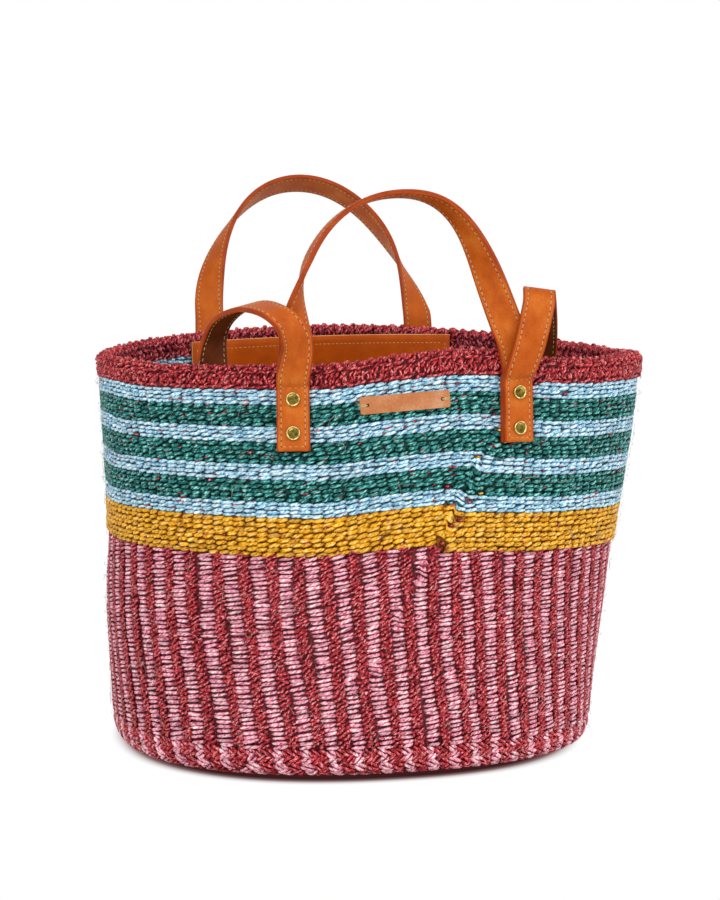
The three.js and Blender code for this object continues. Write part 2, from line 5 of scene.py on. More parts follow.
import bpy
import numpy as np
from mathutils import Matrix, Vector

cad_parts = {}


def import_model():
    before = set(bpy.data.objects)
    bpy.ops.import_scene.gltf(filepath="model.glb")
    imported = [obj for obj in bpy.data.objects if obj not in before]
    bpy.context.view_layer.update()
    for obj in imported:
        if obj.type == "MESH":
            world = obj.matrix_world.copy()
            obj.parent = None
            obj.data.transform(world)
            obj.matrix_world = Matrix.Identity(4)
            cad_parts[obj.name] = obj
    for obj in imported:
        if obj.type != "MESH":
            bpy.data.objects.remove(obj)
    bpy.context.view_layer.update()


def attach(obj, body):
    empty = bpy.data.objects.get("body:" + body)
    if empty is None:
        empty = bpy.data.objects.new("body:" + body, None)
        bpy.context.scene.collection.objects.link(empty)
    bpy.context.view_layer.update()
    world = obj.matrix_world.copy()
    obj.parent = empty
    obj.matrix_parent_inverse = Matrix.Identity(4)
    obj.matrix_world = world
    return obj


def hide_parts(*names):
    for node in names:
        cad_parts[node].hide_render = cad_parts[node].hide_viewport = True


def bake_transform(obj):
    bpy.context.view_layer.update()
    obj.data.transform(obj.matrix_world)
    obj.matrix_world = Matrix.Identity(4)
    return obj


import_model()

MM = 0.001
rng = np.random.default_rng(11)

# Play kept between two pieces that touch.
SEAT_GAP = 0.3

# The woven body, as in the solids: heights of the bands, from the floor up.
WALL_THICKNESS = 5
FOOT_HEIGHT = 18
LOWER_WALL_HEIGHT = 125.7
MUSTARD_HEIGHT = 25.8
BLUE_HEIGHT = 10.5
TEAL_HEIGHT = 14.3
RIM_HEIGHT = 17
STRIPE_PAIRS = 3
BASE_THICKNESS = 5
FOOT_THICKNESS = 9
FOOT_SWELL = 1.5
RIM_SWELL = 2.2
BASE_HALF_WIDTH, BASE_HALF_DEPTH = 168, 149
WAIST_HALF_WIDTH, WAIST_HALF_DEPTH = 178, 136
MOUTH_HALF_WIDTH, MOUTH_HALF_DEPTH = 192, 128
FLOOR_TUCK = 3
STRIPE_STEP = 2
WAIST_SHARE = 0.45
BASE_SQUARENESS, MOUTH_SQUARENESS = 2.05, 2.35
FOOT_SQUARENESS = 0.25
MOUTH_SHIFT_X, MOUTH_SHIFT_Y = 15, -3
REAR_RISE = 16.5
FRONT_BUMP, FRONT_BUMP_ANGLE, FRONT_BUMP_SPREAD = 7, 280, 16
ROW_TILT = 5

LOWER_WALL_TOP = FOOT_HEIGHT + LOWER_WALL_HEIGHT
STRIPES_BOTTOM = LOWER_WALL_TOP + MUSTARD_HEIGHT
RIM_BOTTOM = STRIPES_BOTTOM + (STRIPE_PAIRS + 1) * BLUE_HEIGHT + STRIPE_PAIRS * TEAL_HEIGHT
RIM_TOP = RIM_BOTTOM + RIM_HEIGHT

# The weave: how many stitches go round, and where each row's end is joined to the next row.
ROUND_STITCHES = 141
ROUND_COLUMNS = 59
# The columns stand closer together at the front right than at the front left.
CROWDING = 0.0075
CROWDED_AT = 0.86
COLUMN_START = 0.57
COLUMN_LEAN = 0.13
SEAM_X, SEAM_LEAN = 33, 0.47
ROW_CLIMB, ROW_DROP = 3.2, 1.6
CLIMB_FADE, DROP_FADE, STEP_WIDTH, CLIMB_REACH = 0.1, 0.12, 0.006, 80
ROW_SAG, SAG_LEFT, SAG_FADE = 3.2, 165, 22
SAG_RIGHT, SAG_RIGHT_FADE, SAG_LEAN = 248, 18, 0.3
MOUTH_PINCH, PINCH_REACH = 2.6, 40


def ease(t):
    t = np.clip(t, 0, 1)
    return t * t * (3 - 2 * t)


def mix(a, b, t):
    return a + (b - a) * t


def unit(v):
    return v / np.linalg.norm(v, axis=-1, keepdims=True)


def travelled(path):
    """How far along a path each of its points lies."""
    return np.concatenate([[0], np.cumsum(np.linalg.norm(np.diff(path, axis=0), axis=1))])


def between(at, places, values):
    """Three-part values at places, read at others in between."""
    return np.stack([np.interp(at, places, values[:, i]) for i in range(3)], axis=-1)


def row_rise(angle, level):
    """How far a row at a level stands above it, at an angle round the bag."""
    share = level / RIM_TOP
    rear = np.maximum(0, np.sin(angle)) ** 2 * REAR_RISE
    away = (np.degrees(angle) % 360 - FRONT_BUMP_ANGLE) / FRONT_BUMP_SPREAD
    tilt = ROW_TILT * np.cos(angle) * 4 * share * (1 - share)
    return np.maximum(share, 0) ** 1.5 * (rear + FRONT_BUMP * np.exp(-away * away)) - tilt


def wall(angle, level, out):
    """Points of the wall, out from its outer face, at an angle from +X round by +Y and at a row's level."""
    share = level / RIM_TOP
    low = ease(share / WAIST_SHARE)
    high = ease((share - WAIST_SHARE) / (1 - WAIST_SHARE))
    tuck = FLOOR_TUCK * (1 - ease(level / FOOT_HEIGHT))
    step = np.where(level > LOWER_WALL_TOP, STRIPE_STEP, 0) * (1 - high) - tuck
    half_width = mix(mix(BASE_HALF_WIDTH, WAIST_HALF_WIDTH, low), MOUTH_HALF_WIDTH, high) + step
    half_depth = mix(mix(BASE_HALF_DEPTH, WAIST_HALF_DEPTH, low), MOUTH_HALF_DEPTH, high) + step
    power = mix(BASE_SQUARENESS, MOUTH_SQUARENESS, share) + FOOT_SQUARENESS * (1 - low)
    c, s = np.cos(angle), np.sin(angle)
    reach = (np.abs(c) ** power + np.abs(s) ** power) ** (-1 / power)
    x = MOUTH_SHIFT_X * ease(share) + (half_width + out) * reach * c
    y = MOUTH_SHIFT_Y * ease(share) + (half_depth + out) * reach * s
    return np.stack(np.broadcast_arrays(x, y, level + row_rise(angle, level)), axis=-1)


def round_table():
    """Even shares of the way round the waist, and the angle at each. Share 0 is at +X."""
    angles = np.linspace(0, 2 * math.pi, 721)
    points = wall(angles, 0 * angles + WAIST_SHARE * RIM_TOP, 0)[:, :2]
    lengths = travelled(points)
    return lengths / lengths[-1], angles, lengths[-1]


ROUND_SHARES, ROUND_ANGLES, ROUND_LENGTH = round_table()


def angle_of(share):
    turns = np.floor(share)
    return np.interp(share - turns, ROUND_SHARES, ROUND_ANGLES) + 2 * math.pi * turns


def column_place(index):
    """How far round the wall a column's edge lies, in millimetres."""
    even = (index + COLUMN_START) / ROUND_COLUMNS
    return ROUND_LENGTH * (even - CROWDING * np.sin(4 * math.pi * (even - CROWDED_AT)))


def share_at_x(x, side):
    """The share at which the front (-1) or rear (+1) of the waist passes an X."""
    shares = np.linspace(0.5, 1, 400) if side < 0 else np.linspace(0, 0.5, 400)
    xs = wall(angle_of(shares), 0 * shares + WAIST_SHARE * RIM_TOP, 0)[:, 0]
    return float(shares[np.argmin(np.abs(xs - x))])


SEAM_SHARE = share_at_x(SEAM_X, -1)


def seam_share(level):
    """Where the rows' ends join at a level: a line that leans to the right as it climbs."""
    return SEAM_SHARE + SEAM_LEAN * (level - STRIPES_BOTTOM) / ROUND_LENGTH


def settled(share, level):
    """The level that a row really runs at: its ends join in a step, and it sags at the front left."""
    past = (share - seam_share(level)) % 1
    climb = ROW_CLIMB * (1 - ease((1 - past) / CLIMB_FADE))
    climb = climb * (1 - ease((level - STRIPES_BOTTOM) / CLIMB_REACH))
    drop = ROW_DROP * (1 - ease(past / DROP_FADE))
    step = mix(climb, -drop, ease(past / STEP_WIDTH) * (past < 0.5))
    angle = np.degrees(angle_of(share)) % 360
    left = SAG_LEFT + SAG_LEAN * (level - STRIPES_BOTTOM)
    sag = ROW_SAG * ease((angle - left) / SAG_FADE) * (1 - ease((angle - SAG_RIGHT) / SAG_RIGHT_FADE))
    return level + (step - sag) * ease(level / STRIPES_BOTTOM)


def pinch(share, level):
    """How far the wall is drawn in under the rim at the right end."""
    angle = (np.degrees(angle_of(share)) + 180) % 360 - 180
    return MOUTH_PINCH * ease((level - LOWER_WALL_TOP) / (RIM_BOTTOM - LOWER_WALL_TOP)) \
        * (1 - ease(np.abs(angle) / PINCH_REACH))


def outer_wall(share, level, lift):
    return wall(angle_of(share), settled(share, level), lift - pinch(share, level))


def inner_wall(share, level, lift):
    return wall(angle_of(share), settled(share, level), -WALL_THICKNESS - lift - pinch(share, level))


# Where the rim's section turns over the top, as a straight rise, half a circle and a straight fall.
RIM_CORE = 2.9
RIM_CENTRE = -WALL_THICKNESS / 2
RIM_TURN = 4.2
RIM_STRAIGHT = RIM_HEIGHT - 5.2
RIM_ARC = math.pi * RIM_TURN


def rim_surface(share, along, lift):
    """The rim's section from its outer foot, over the top, to its inner foot."""
    turn = np.clip((along - RIM_STRAIGHT) / RIM_TURN, 0, math.pi)
    past = np.maximum(0, along - RIM_STRAIGHT - RIM_ARC)
    radius = RIM_CORE + lift
    level = RIM_BOTTOM + np.minimum(along, RIM_STRAIGHT) + radius * np.sin(turn) - past
    return wall(angle_of(share), settled(share, level), RIM_CENTRE + radius * np.cos(turn))


# Where the foot's section turns under the bag, and how thick its strands are.
FOOT_TURN = 6.5
FOOT_STRAND = 1.7
FOOT_ARC = math.pi / 2 * FOOT_TURN


def foot_surface(share, along, lift):
    """The foot's section from the lower wall down, round its corner and in under the bag."""
    drop = FOOT_HEIGHT - FOOT_TURN
    turn = np.clip((along - drop) / FOOT_TURN, 0, math.pi / 2)
    past = np.maximum(0, along - drop - FOOT_ARC)
    swell = FOOT_SWELL * ease(along / 8)
    radius = FOOT_TURN - FOOT_STRAND + lift
    level = FOOT_HEIGHT - np.minimum(along, drop) - radius * np.sin(turn)
    out = swell - FOOT_TURN + radius * np.cos(turn) - past
    return wall(angle_of(share), level, out)


def placed(name, data):
    """A new object in the scene."""
    made = bpy.data.objects.new(name, data)
    bpy.context.scene.collection.objects.link(made)
    return made


def on_basket(piece, slot, *replaced):
    """Marks a piece as riding on the basket, and hides the nodes that it stands for."""
    if replaced:
        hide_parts(*replaced)
    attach(piece, "basket")


def outward(points, quads, triangles):
    """The faces, turned round if the closed forms that they make are inside out."""
    a, b, c = np.moveaxis(points[np.concatenate([triangles, quads[:, :3], quads[:, [0, 2, 3]]])], 1, 0)
    if np.einsum("ij,ij->", a, np.cross(b, c)) < 0:
        return quads[:, ::-1], triangles[:, ::-1]
    return quads, triangles


class Pile:
    """Gathers many small closed forms into one mesh, with the yarn's run and shade at each point."""

    def __init__(self):
        self.parts = []
        self.count = 0

    def add(self, points, quads, triangles, slots, grain, tint, shade):
        points = points.reshape(-1, 3)
        quads, triangles = outward(points, quads, triangles)
        self.parts.append((
            points,
            quads + self.count,
            triangles + self.count,
            np.broadcast_to(slots[0], len(quads)),
            np.broadcast_to(slots[1], len(triangles)),
            grain.reshape(-1, 3),
            np.broadcast_to(tint, len(points)),
            np.broadcast_to(shade, len(points)),
        ))
        self.count += len(points)

    def build(self, name, materials):
        points, quads, triangles, quad_slots, triangle_slots, *marks = map(np.concatenate, zip(*self.parts))
        corners = np.concatenate([quads.ravel(), triangles.ravel()])
        starts = np.concatenate([np.arange(len(quads)) * 4, len(quads) * 4 + np.arange(len(triangles)) * 3])
        mesh = bpy.data.meshes.new(name)
        mesh.vertices.add(len(points))
        mesh.loops.add(len(corners))
        mesh.polygons.add(len(starts))
        mesh.vertices.foreach_set("co", (points * MM).astype(np.float32).ravel())
        mesh.loops.foreach_set("vertex_index", corners.astype(np.int32))
        mesh.polygons.foreach_set("loop_start", starts.astype(np.int32))
        slots = np.concatenate([quad_slots, triangle_slots])
        mesh.polygons.foreach_set("material_index", slots.astype(np.int32))
        mesh.update(calc_edges=True)
        for key, values in zip(("grain", "tint", "shade"), marks):
            kind, field = ("FLOAT_VECTOR", "vector") if key == "grain" else ("FLOAT", "value")
            attribute = mesh.attributes.new(key, kind, "POINT")
            attribute.data.foreach_set(field, values.astype(np.float32).ravel())
        mesh.shade_smooth()
        for material in materials:
            mesh.materials.append(material)
        return placed(name, mesh)


# A stitch's section: its front half is round and its back is a ridge against the backing.
FRONT_TURNS = np.radians([-90, -32, 32, 90, 180])
BACK_SHARE = 0.4
FIBRE_TWIST = math.radians(28)
# Where a stitch's rings of points lie along it, in shares of its half length.
LONG_RINGS = (-0.88, -0.6, -0.2, 0.2, 0.6, 0.88)
FINE_RINGS = (-0.84, -0.42, 0.42, 0.84)
COARSE_RINGS = (-0.55, 0.55)


def ring_quads(rows, width, closed=False):
    """Quads from each row of a closed section to the next, and from the last to the first if closed."""
    row, column = np.meshgrid(np.arange(rows if closed else rows - 1), np.arange(width), indexing="ij")
    ahead, after = (row + 1) % rows, (column + 1) % width
    return np.stack([row * width + column, row * width + after, ahead * width + after,
                     ahead * width + column], axis=-1).reshape(-1, 4)


def grid_faces(rings, sides, count):
    """Quads and end triangles of forms that have a tip, some rings of points and a tip."""
    side = np.arange(sides)
    after = (side + 1) % sides
    last = 1 + (rings - 1) * sides
    tip = last + sides
    first_fan = np.stack([0 * side, 1 + after, 1 + side], axis=-1)
    last_fan = np.stack([0 * side + tip, last + side, last + after], axis=-1)
    offsets = np.arange(count)[:, None, None] * (tip + 1)
    quads = 1 + ring_quads(rings, sides) + offsets
    triangles = np.concatenate([first_fan, last_fan]) + offsets
    return quads.reshape(-1, 4), triangles.reshape(-1, 3)


def stitches(pile, surface, share, at, angle, half_length, half_width, bulge, slots, rings=FINE_RINGS,
             lift=0.0, dive=1.2, scale=ROUND_LENGTH, pointed=2.4):
    """Lens-shaped stitches on a surface. The angle is a stitch's slope from the level, in degrees."""
    count, sides = len(share), len(FRONT_TURNS)
    share, at, angle, half_length, half_width, bulge = (
        np.broadcast_to(value, count)[:, None]
        for value in (share, at, np.radians(angle), half_length, half_width, bulge))
    along = np.concatenate([[-1], np.repeat(rings, sides), [1]])
    turn = np.concatenate([[0], np.tile(FRONT_TURNS, len(rings)), [0]])
    swell = np.sqrt(1 - np.abs(along) ** pointed)
    height = np.cos(turn)
    a, b = half_length * along, half_width * swell * np.sin(turn)
    c = bulge * swell * np.where(height < 0, BACK_SHARE * height, height) - dive * along**2
    across = a * np.cos(angle) - b * np.sin(angle)
    upward = a * np.sin(angle) + b * np.cos(angle)
    points = surface(share + across / scale, at + upward, c + lift)
    seed = rng.uniform(0, 100, count)[:, None] + 0 * a
    onward, sideways = math.cos(FIBRE_TWIST), math.sin(FIBRE_TWIST)
    grain = np.stack([a * onward + b * sideways, b * onward - a * sideways, seed], axis=-1)
    tint = rng.normal(0, 1, count)[:, None] + 0 * a
    # 1 on a stitch's crown, 0 at its sides and tips: the yarn paints shade and glints by it.
    shade = swell * np.maximum(0, height) + 0 * a
    slots = np.broadcast_to(slots, count)
    tipped(pile, points, len(rings), sides, slots, grain, tint.ravel(), shade.ravel())


NO_TRIANGLES = np.zeros((0, 3), int)


def backing(pile, surface, section, slot, steps=276):
    """The core behind the stitches, dark with painted shade that shows in the gaps: a closed section of
    places and lifts, carried all round.
    """
    share = np.arange(steps)[:, None] / steps
    at, lift = np.array(section, float).T[:, None]
    points = surface(share, at, lift).reshape(-1, 3)
    quads = ring_quads(steps, len(section), closed=True)
    pile.add(points, quads, NO_TRIANGLES, (slot, slot), np.roll(points, 1, axis=1), 0.0, 0.6)


def swept(pile, points, slots, grain):
    """A closed section carried along a run and closed at both ends. Its second half mirrors its first."""
    rows, width = points.shape[:2]
    i = np.arange(width // 2 - 1)[:, None]
    end = np.concatenate([i + 1, i, width - 1 - i, width - 2 - i], axis=1)
    quads = np.concatenate([ring_quads(rows, width), end, (rows - 1) * width + end[:, ::-1]])
    slots = np.concatenate([np.tile(slots, rows - 1), np.ones(2 * len(end), int)])
    grain = np.stack(np.broadcast_arrays(*grain), axis=-1)
    pile.add(points, quads, NO_TRIANGLES, (slots, 1), grain, 0.0, 1.0)


def tipped(pile, points, rings, sides, slots, grain, tint, shade):
    """Adds forms that each have a tip, some rings of points and a tip, and a slot of their own."""
    quads, triangles = grid_faces(rings, sides, len(slots))
    slots = [np.repeat(slots, len(faces) // len(slots)) for faces in (quads, triangles)]
    pile.add(points, quads, triangles, slots, grain, tint, shade)


def linear(code):
    """A colour code as linear red, green, blue and alpha."""
    values = [int(code[i:i + 2], 16) / 255 for i in (0, 2, 4)]
    return [v / 12.92 if v <= 0.04045 else ((v + 0.055) / 1.055) ** 2.4 for v in values] + [1.0]


class Nodes:
    """Short calls for the node tree of a material or of the world."""

    def __init__(self, owner):
        owner.use_nodes = True
        self.owner = owner
        self.tree = owner.node_tree
        self.surface = self.tree.nodes.get("Principled BSDF")

    def add(self, kind, inputs=None, **settings):
        node = self.tree.nodes.new(kind)
        for key, value in settings.items():
            setattr(node, key, value)
        for key, value in (inputs or {}).items():
            self.set(node, key, value)
        return node

    def set(self, node, key, value):
        if isinstance(value, bpy.types.NodeSocket):
            self.tree.links.new(value, node.inputs[key])
        else:
            node.inputs[key].default_value = value

    def named(self, name, output="Fac"):
        return self.add("ShaderNodeAttribute", attribute_name=name).outputs[output]

    def parts(self, vector):
        return self.add("ShaderNodeSeparateXYZ", {"Vector": vector}).outputs

    def maths(self, operation, *values):
        return self.add("ShaderNodeMath", dict(enumerate(values)), operation=operation).outputs[0]

    def total(self, *parts):
        """The sum of some values, each times its share."""
        sums = None
        for value, share in parts:
            value = self.maths("MULTIPLY", value, share)
            sums = self.maths("ADD", sums, value) if sums else value
        return sums

    def noise(self, vector, factors, detail, roughness):
        vector = self.add("ShaderNodeVectorMath", {0: vector, 1: factors}, operation="MULTIPLY").outputs[0]
        inputs = {"Vector": vector, "Scale": 1.0, "Detail": detail, "Roughness": roughness}
        return self.add("ShaderNodeTexNoise", inputs).outputs["Fac"]

    def ramp(self, value, places, codes):
        """Colours by their codes, each at its place."""
        node = self.add("ShaderNodeValToRGB", {"Fac": value})
        points = node.color_ramp.elements
        while len(points) < len(places):
            points.new(0.5)
        for point, place, code in zip(points, places, codes.split()):
            point.position = place
            point.color = linear(code)
        return node.outputs["Color"]

    def smooth(self, value, low, high, to_low, to_high):
        """A smooth step between two values."""
        inputs = {"Value": value, "From Min": low, "From Max": high, "To Min": to_low, "To Max": to_high}
        return self.add("ShaderNodeMapRange", inputs, interpolation_type="SMOOTHSTEP").outputs["Result"]

    def scaled_colour(self, colour, factor):
        """A colour times a number."""
        return self.add("ShaderNodeVectorMath", {0: colour, "Scale": factor}, operation="SCALE").outputs[0]

    def bump(self, height, distance, strength):
        inputs = {"Height": height, "Distance": distance * MM, "Strength": strength}
        return self.add("ShaderNodeBump", inputs).outputs["Normal"]

    def shaded(self, colour, roughness, normal, specular=0.5, metallic=0.0):
        """The material, with its surface set."""
        for key, value in (("Base Color", colour), ("Roughness", roughness), ("Normal", normal),
                           ("Specular IOR Level", specular), ("Metallic", metallic)):
            self.set(self.surface, key, value)
        return self.owner

    def seen_white(self, lit, white, output):
        """Shows a white shader to rays from the camera or by way of gloss or glass, else the lit one."""
        path = self.add("ShaderNodeLightPath").outputs
        seen = self.maths("MAXIMUM", path["Is Camera Ray"], path["Is Glossy Ray"])
        seen = self.maths("MAXIMUM", seen, path["Is Transmission Ray"])
        mixer = self.add("ShaderNodeMixShader", {"Fac": seen, 1: lit.outputs[0], 2: white.outputs[0]})
        self.set(self.tree.nodes[output], "Surface", mixer.outputs[0])


def started(name):
    """A new material's nodes, and the run of its grain in millimetres."""
    n = Nodes(bpy.data.materials.new(name))
    return n, n.named("grain", "Vector")


def yarn(name, tones, side_shade):
    """Sisal yarn in five tones, from painted shade at a stitch's sides to painted glints on its crown, over
    the fibres' own random tone. The lower the last value, the darker the painted shade at a stitch's sides.
    """
    n, grain = started(name)
    coarse = n.noise(grain, (0.34, 0.95, 1.0), 2.0, 0.6)
    fine = n.noise(grain, (0.6, 2.1, 1.0), 2.0, 0.75)
    fibre = n.total((coarse, 0.66), (fine, 0.34))
    tint = n.maths("MULTIPLY_ADD", n.named("tint"), 0.1, 1.0)
    # Painted shade and light: the ramp is read lower at a stitch's sides and a little higher on its crown.
    depth = n.maths("MULTIPLY_ADD", n.named("shade"), 0.12, -0.07)
    colour = n.ramp(n.maths("ADD", fibre, depth), (0.38, 0.45, 0.51, 0.57, 0.64), tones)
    # Painted shade: the colour is scaled from 1.05 on a stitch's crown down to the last value at its sides.
    crown = n.maths("MULTIPLY_ADD", n.maths("POWER", n.named("shade"), 0.6), 1.05 - side_shade, side_shade)
    colour = n.scaled_colour(colour, n.maths("MULTIPLY", tint, crown))
    return n.shaded(colour, 0.55, n.bump(fibre, 0.6, 0.9), specular=0.25)


WINE = yarn("wine_yarn", "4A0812 8E1420 B4242E CC4A52 ECA8AC", 0.42)
RIM_WINE = yarn("rim_wine_yarn", "42060E 861420 B4242E D44A4C F09A98", 0.34)
PINK = yarn("pink_yarn", "9C3C50 DC7890 F2A2B4 FFC8D2 FFF6EC", 0.5)
MUSTARD = yarn("mustard_yarn", "9A5A06 D08C06 EEA812 FFC230 FFE69A", 0.5)
BLUE = yarn("light_blue_yarn", "4A84A6 82B8D4 ACD8EA D6F2FA FFFFFF", 0.55)
TEAL = yarn("teal_yarn", "042826 0A5450 1C7C76 48A69E B0E6E2", 0.28)
# Dark yarns for the backing: painted shade that shows in the gaps between the stitches.
DARK_WINE = yarn("wine_shadow", "1E0408 3A0810 58101A 7C1E2A 9C3C48", 1.0)
DARK_MUSTARD = yarn("mustard_shadow", "2C0A0C 5A2A0A 84480C A8680C C8860E", 1.0)
DARK_BLUE = yarn("blue_shadow", "1E0A10 2E2A34 3E5464 5C8298 86B2C6", 1.0)
DARK_TEAL = yarn("teal_shadow", "080A0A 051A16 062E28 0A443C 146054", 1.0)
# A darker copy of the wine yarn for the inside of the bag: painted shade.
SHADED_INNER_WINE = yarn("shaded_inner_wine_yarn", "32060C 701824 9E2834 C24A54 DC868C", 0.38)
PALE_HAIR = yarn("pale_fibre", "6E605A 8C7E76 A89A92 C2B6AE D8CEC6", 1.0)
RED_HAIR = yarn("red_fibre", "7A3038 A05058 BC7A80 D8A8AC E8C8C8", 1.0)


def spread(count, amount):
    return rng.uniform(-amount, amount, count)


def varied(count, amount):
    """Factors near one."""
    return 1 + spread(count, amount)


def wander(share, waves, reach):
    """A smooth value that drifts up and down round the bag, out of a few waves."""
    total = 0 * share
    for wave in waves:
        total = total + np.sin(2 * math.pi * (wave * share + rng.random()))
    return reach * total / len(waves)


# A band's stray stitches: how likely near the seam and elsewhere, how far the seam reaches, in turns, and
# their length and width in shares of the others'.
STRAY_NEAR_SEAM, STRAY_ELSEWHERE, SEAM_REACH = 0.12, 0.004, 0.014
STRAY_LENGTH, STRAY_WIDTH = 0.42, 0.6
STITCHES_TO_SPECK = 7
# Half a stitch's width in rows, how sizes vary, and how a row drifts from the one below in stitches.
BAND_FULLNESS, SIZE_SCATTER, ROW_DRIFT = 0.57, 0.12, 0.1


def band_stitches(pile, surface, bottom, top, rows, slot, flecks, rings, bulge, slope, reach):
    """Rows of slanted stitches over the same warps, with a few stray yarns and dark specks."""
    pitch = (top - bottom) / rows
    length = ROUND_LENGTH / ROUND_STITCHES
    count = ROUND_STITCHES
    drift = 0.0
    for row in range(rows):
        level = bottom + (row + 0.5) * pitch
        drift += rng.normal(0, ROW_DRIFT)
        share = np.arange(count) / count + COLUMN_LEAN * (STRIPES_BOTTOM - level) / ROUND_LENGTH
        share = share + (drift + wander(share, (7, 13, 29), 0.2)) / count + spread(count, 0.0005)
        edge = 0 if row in (0, rows - 1) else 0.2
        level = level + wander(share, (11, 23, 41), 0.4 + edge) + spread(count, 0.16)
        angle = slope + wander(share, (9, 19), 4) + spread(count, 5)
        near_seam = np.abs((share - seam_share(level) + 0.5) % 1 - 0.5) < SEAM_REACH
        stray = rng.random(count) < np.where(near_seam, STRAY_NEAR_SEAM, STRAY_ELSEWHERE)
        half_length = length * reach * varied(count, SIZE_SCATTER) * np.where(stray, STRAY_LENGTH, 1)
        half_width = pitch * BAND_FULLNESS * varied(count, SIZE_SCATTER) * np.where(stray, STRAY_WIDTH, 1)
        slots = np.where(stray, rng.choice(flecks, count), slot)
        bulges = bulge * varied(count, 0.25)
        stitches(pile, surface, share, level, angle, half_length, half_width, bulges, slots, rings,
                 pointed=2.0)
        if rings is COARSE_RINGS:
            continue
        specks = rng.choice(count, count // STITCHES_TO_SPECK, replace=False)
        size = rng.random(len(specks)) ** 2
        stitches(pile, surface, share[specks] + spread(len(specks), 0.004), level[specks] - pitch / 2,
                 slope + 8 + spread(len(specks), 8), 1.3 + 1.5 * size, 0.4 + 0.3 * size, 0.8 + 0.5 * size,
                 flecks[0], COARSE_RINGS, dive=0.5)


def levels_between(bottom, top, step):
    return np.linspace(bottom, top, max(1, round((top - bottom) / step)) + 1)


def wall_backing(pile, bottom, top, slot):
    """The core between the outer and the inner stitches of a band."""
    levels = levels_between(bottom, top, 10)
    section = [(level, -1.0) for level in levels]
    section += [(level, 1.0 - WALL_THICKNESS) for level in levels[::-1]]
    backing(pile, outer_wall, section, slot)


def band(name, slot_name, bottom, top, rows, slope, reach, material, dark, flecks):
    """One colour band of the wall, with its stitches outside and inside."""
    pile = Pile()
    wall_backing(pile, bottom, top, 1)
    choice = np.arange(2, 2 + len(flecks))
    band_stitches(pile, outer_wall, bottom, top, rows, 0, choice, FINE_RINGS, 1.25, slope, reach)
    band_stitches(pile, inner_wall, bottom, top, rows, 0, choice, COARSE_RINGS, 1.1, slope, reach)
    on_basket(pile.build(name + "_weave", [material, dark] + flecks), slot_name, name)


def stripes():
    """The mustard band and the blue and teal stripes above it."""
    band("mustard_band", "mustard_yarn", LOWER_WALL_TOP, STRIPES_BOTTOM, 8, 11, 0.62,
         MUSTARD, DARK_MUSTARD, [WINE])
    level = STRIPES_BOTTOM
    for pair in range(STRIPE_PAIRS, -1, -1):
        top = level + BLUE_HEIGHT
        band(f"light_blue_band_{pair + 1}", "light_blue_yarn", level, top, 4, 8, 0.62, BLUE, DARK_BLUE,
             [WINE, MUSTARD, TEAL])
        level = top
        if pair:
            top = level + TEAL_HEIGHT
            band(f"teal_band_{pair}", "teal_yarn", level, top, 5, 10, 0.55, TEAL, DARK_TEAL,
                 [WINE, MUSTARD])
            level = top


LOWER_ROWS = 44
# Half sizes of the pink stitches and of the wine strands: lengths in columns and widths in rows.
PINK_LENGTH, PINK_WIDTH = 0.335, 0.51
WINE_LENGTH, WINE_WIDTH = 0.125, 0.44
# Where the wine strands of a column lie, across in columns and up in rows.
WINE_PLACES = ((0.35, 0.3), (0.44, 0.75), (0.54, 0.1), (0.64, 0.55))
WINE_SLOPE, WINE_SLOPE_SCATTER = 24, 26


def column_stitches(pile, surface, rings, bulge, pink, wine):
    """The lower wall's rows: in each column a level pink stitch, then a tangle of steep wine strands."""
    pitch = LOWER_WALL_HEIGHT / LOWER_ROWS
    count = ROUND_COLUMNS
    edges = column_place(np.arange(count + 1))
    period = np.diff(edges)
    phase = rng.uniform(-1, 1, (2, count))
    width = 1 + 0.12 * rng.uniform(-1, 1, count)
    for row in range(LOWER_ROWS):
        level = FOOT_HEIGHT + (row + 0.5) * pitch
        lean = COLUMN_LEAN * (LOWER_WALL_TOP - level)
        sway = 0.9 * np.sin(level / 17 + 6 * phase[0]) + 0.9 * phase[1]
        middle = edges[:-1] + period / 2 + lean + sway
        share = (middle + spread(count, 0.8)) / ROUND_LENGTH
        slope = 7 + wander(share, (5, 11), 5) + spread(count, 6)
        up = wander(share, (9, 17, 31), 0.5)
        stitches(pile, surface, share, level + up + spread(count, 0.2), slope,
                 period * PINK_LENGTH * width * varied(count, 0.2), pitch * PINK_WIDTH * varied(count, 0.2),
                 bulge * 1.1, pink, rings, pointed=1.7)
        for place, climb in WINE_PLACES:
            share = (middle + period * place + spread(count, 0.9)) / ROUND_LENGTH
            stitches(pile, surface, share, level + up + pitch * climb + spread(count, 0.5),
                     WINE_SLOPE + spread(count, WINE_SLOPE_SCATTER),
                     period * WINE_LENGTH * varied(count, 0.3), pitch * WINE_WIDTH * varied(count, 0.3),
                     bulge * (0.85 + spread(count, 0.25)), wine, rings, dive=0.7, pointed=1.8)


def lower_wall():
    """The tall lower wall, in columns of pink and wine."""
    outside = Pile()
    wall_backing(outside, FOOT_HEIGHT, LOWER_WALL_TOP, 2)
    column_stitches(outside, outer_wall, FINE_RINGS, 1.2, 0, 1)
    on_basket(outside.build("lower_wall_weave", [PINK, WINE, DARK_WINE]), "pink_and_wine_yarn", "lower_wall")
    # The inside's wine strands take the darker inner wine: painted shade.
    inside = Pile()
    column_stitches(inside, inner_wall, COARSE_RINGS, 1.0, 0, 1)
    on_basket(inside.build("lower_wall_inner_weave", [PINK, SHADED_INNER_WINE]), "pink_and_wine_yarn")


LOOSE_STRANDS = 1300
# The strands over the rim lie in bundles: how far apart, how slanted, how gathered and how thick.
BUNDLE_PITCH = 7.2
BUNDLE_LEAN = 0.5
BUNDLE_GATHER = 0.11
BUNDLE_SWELL = 0.45


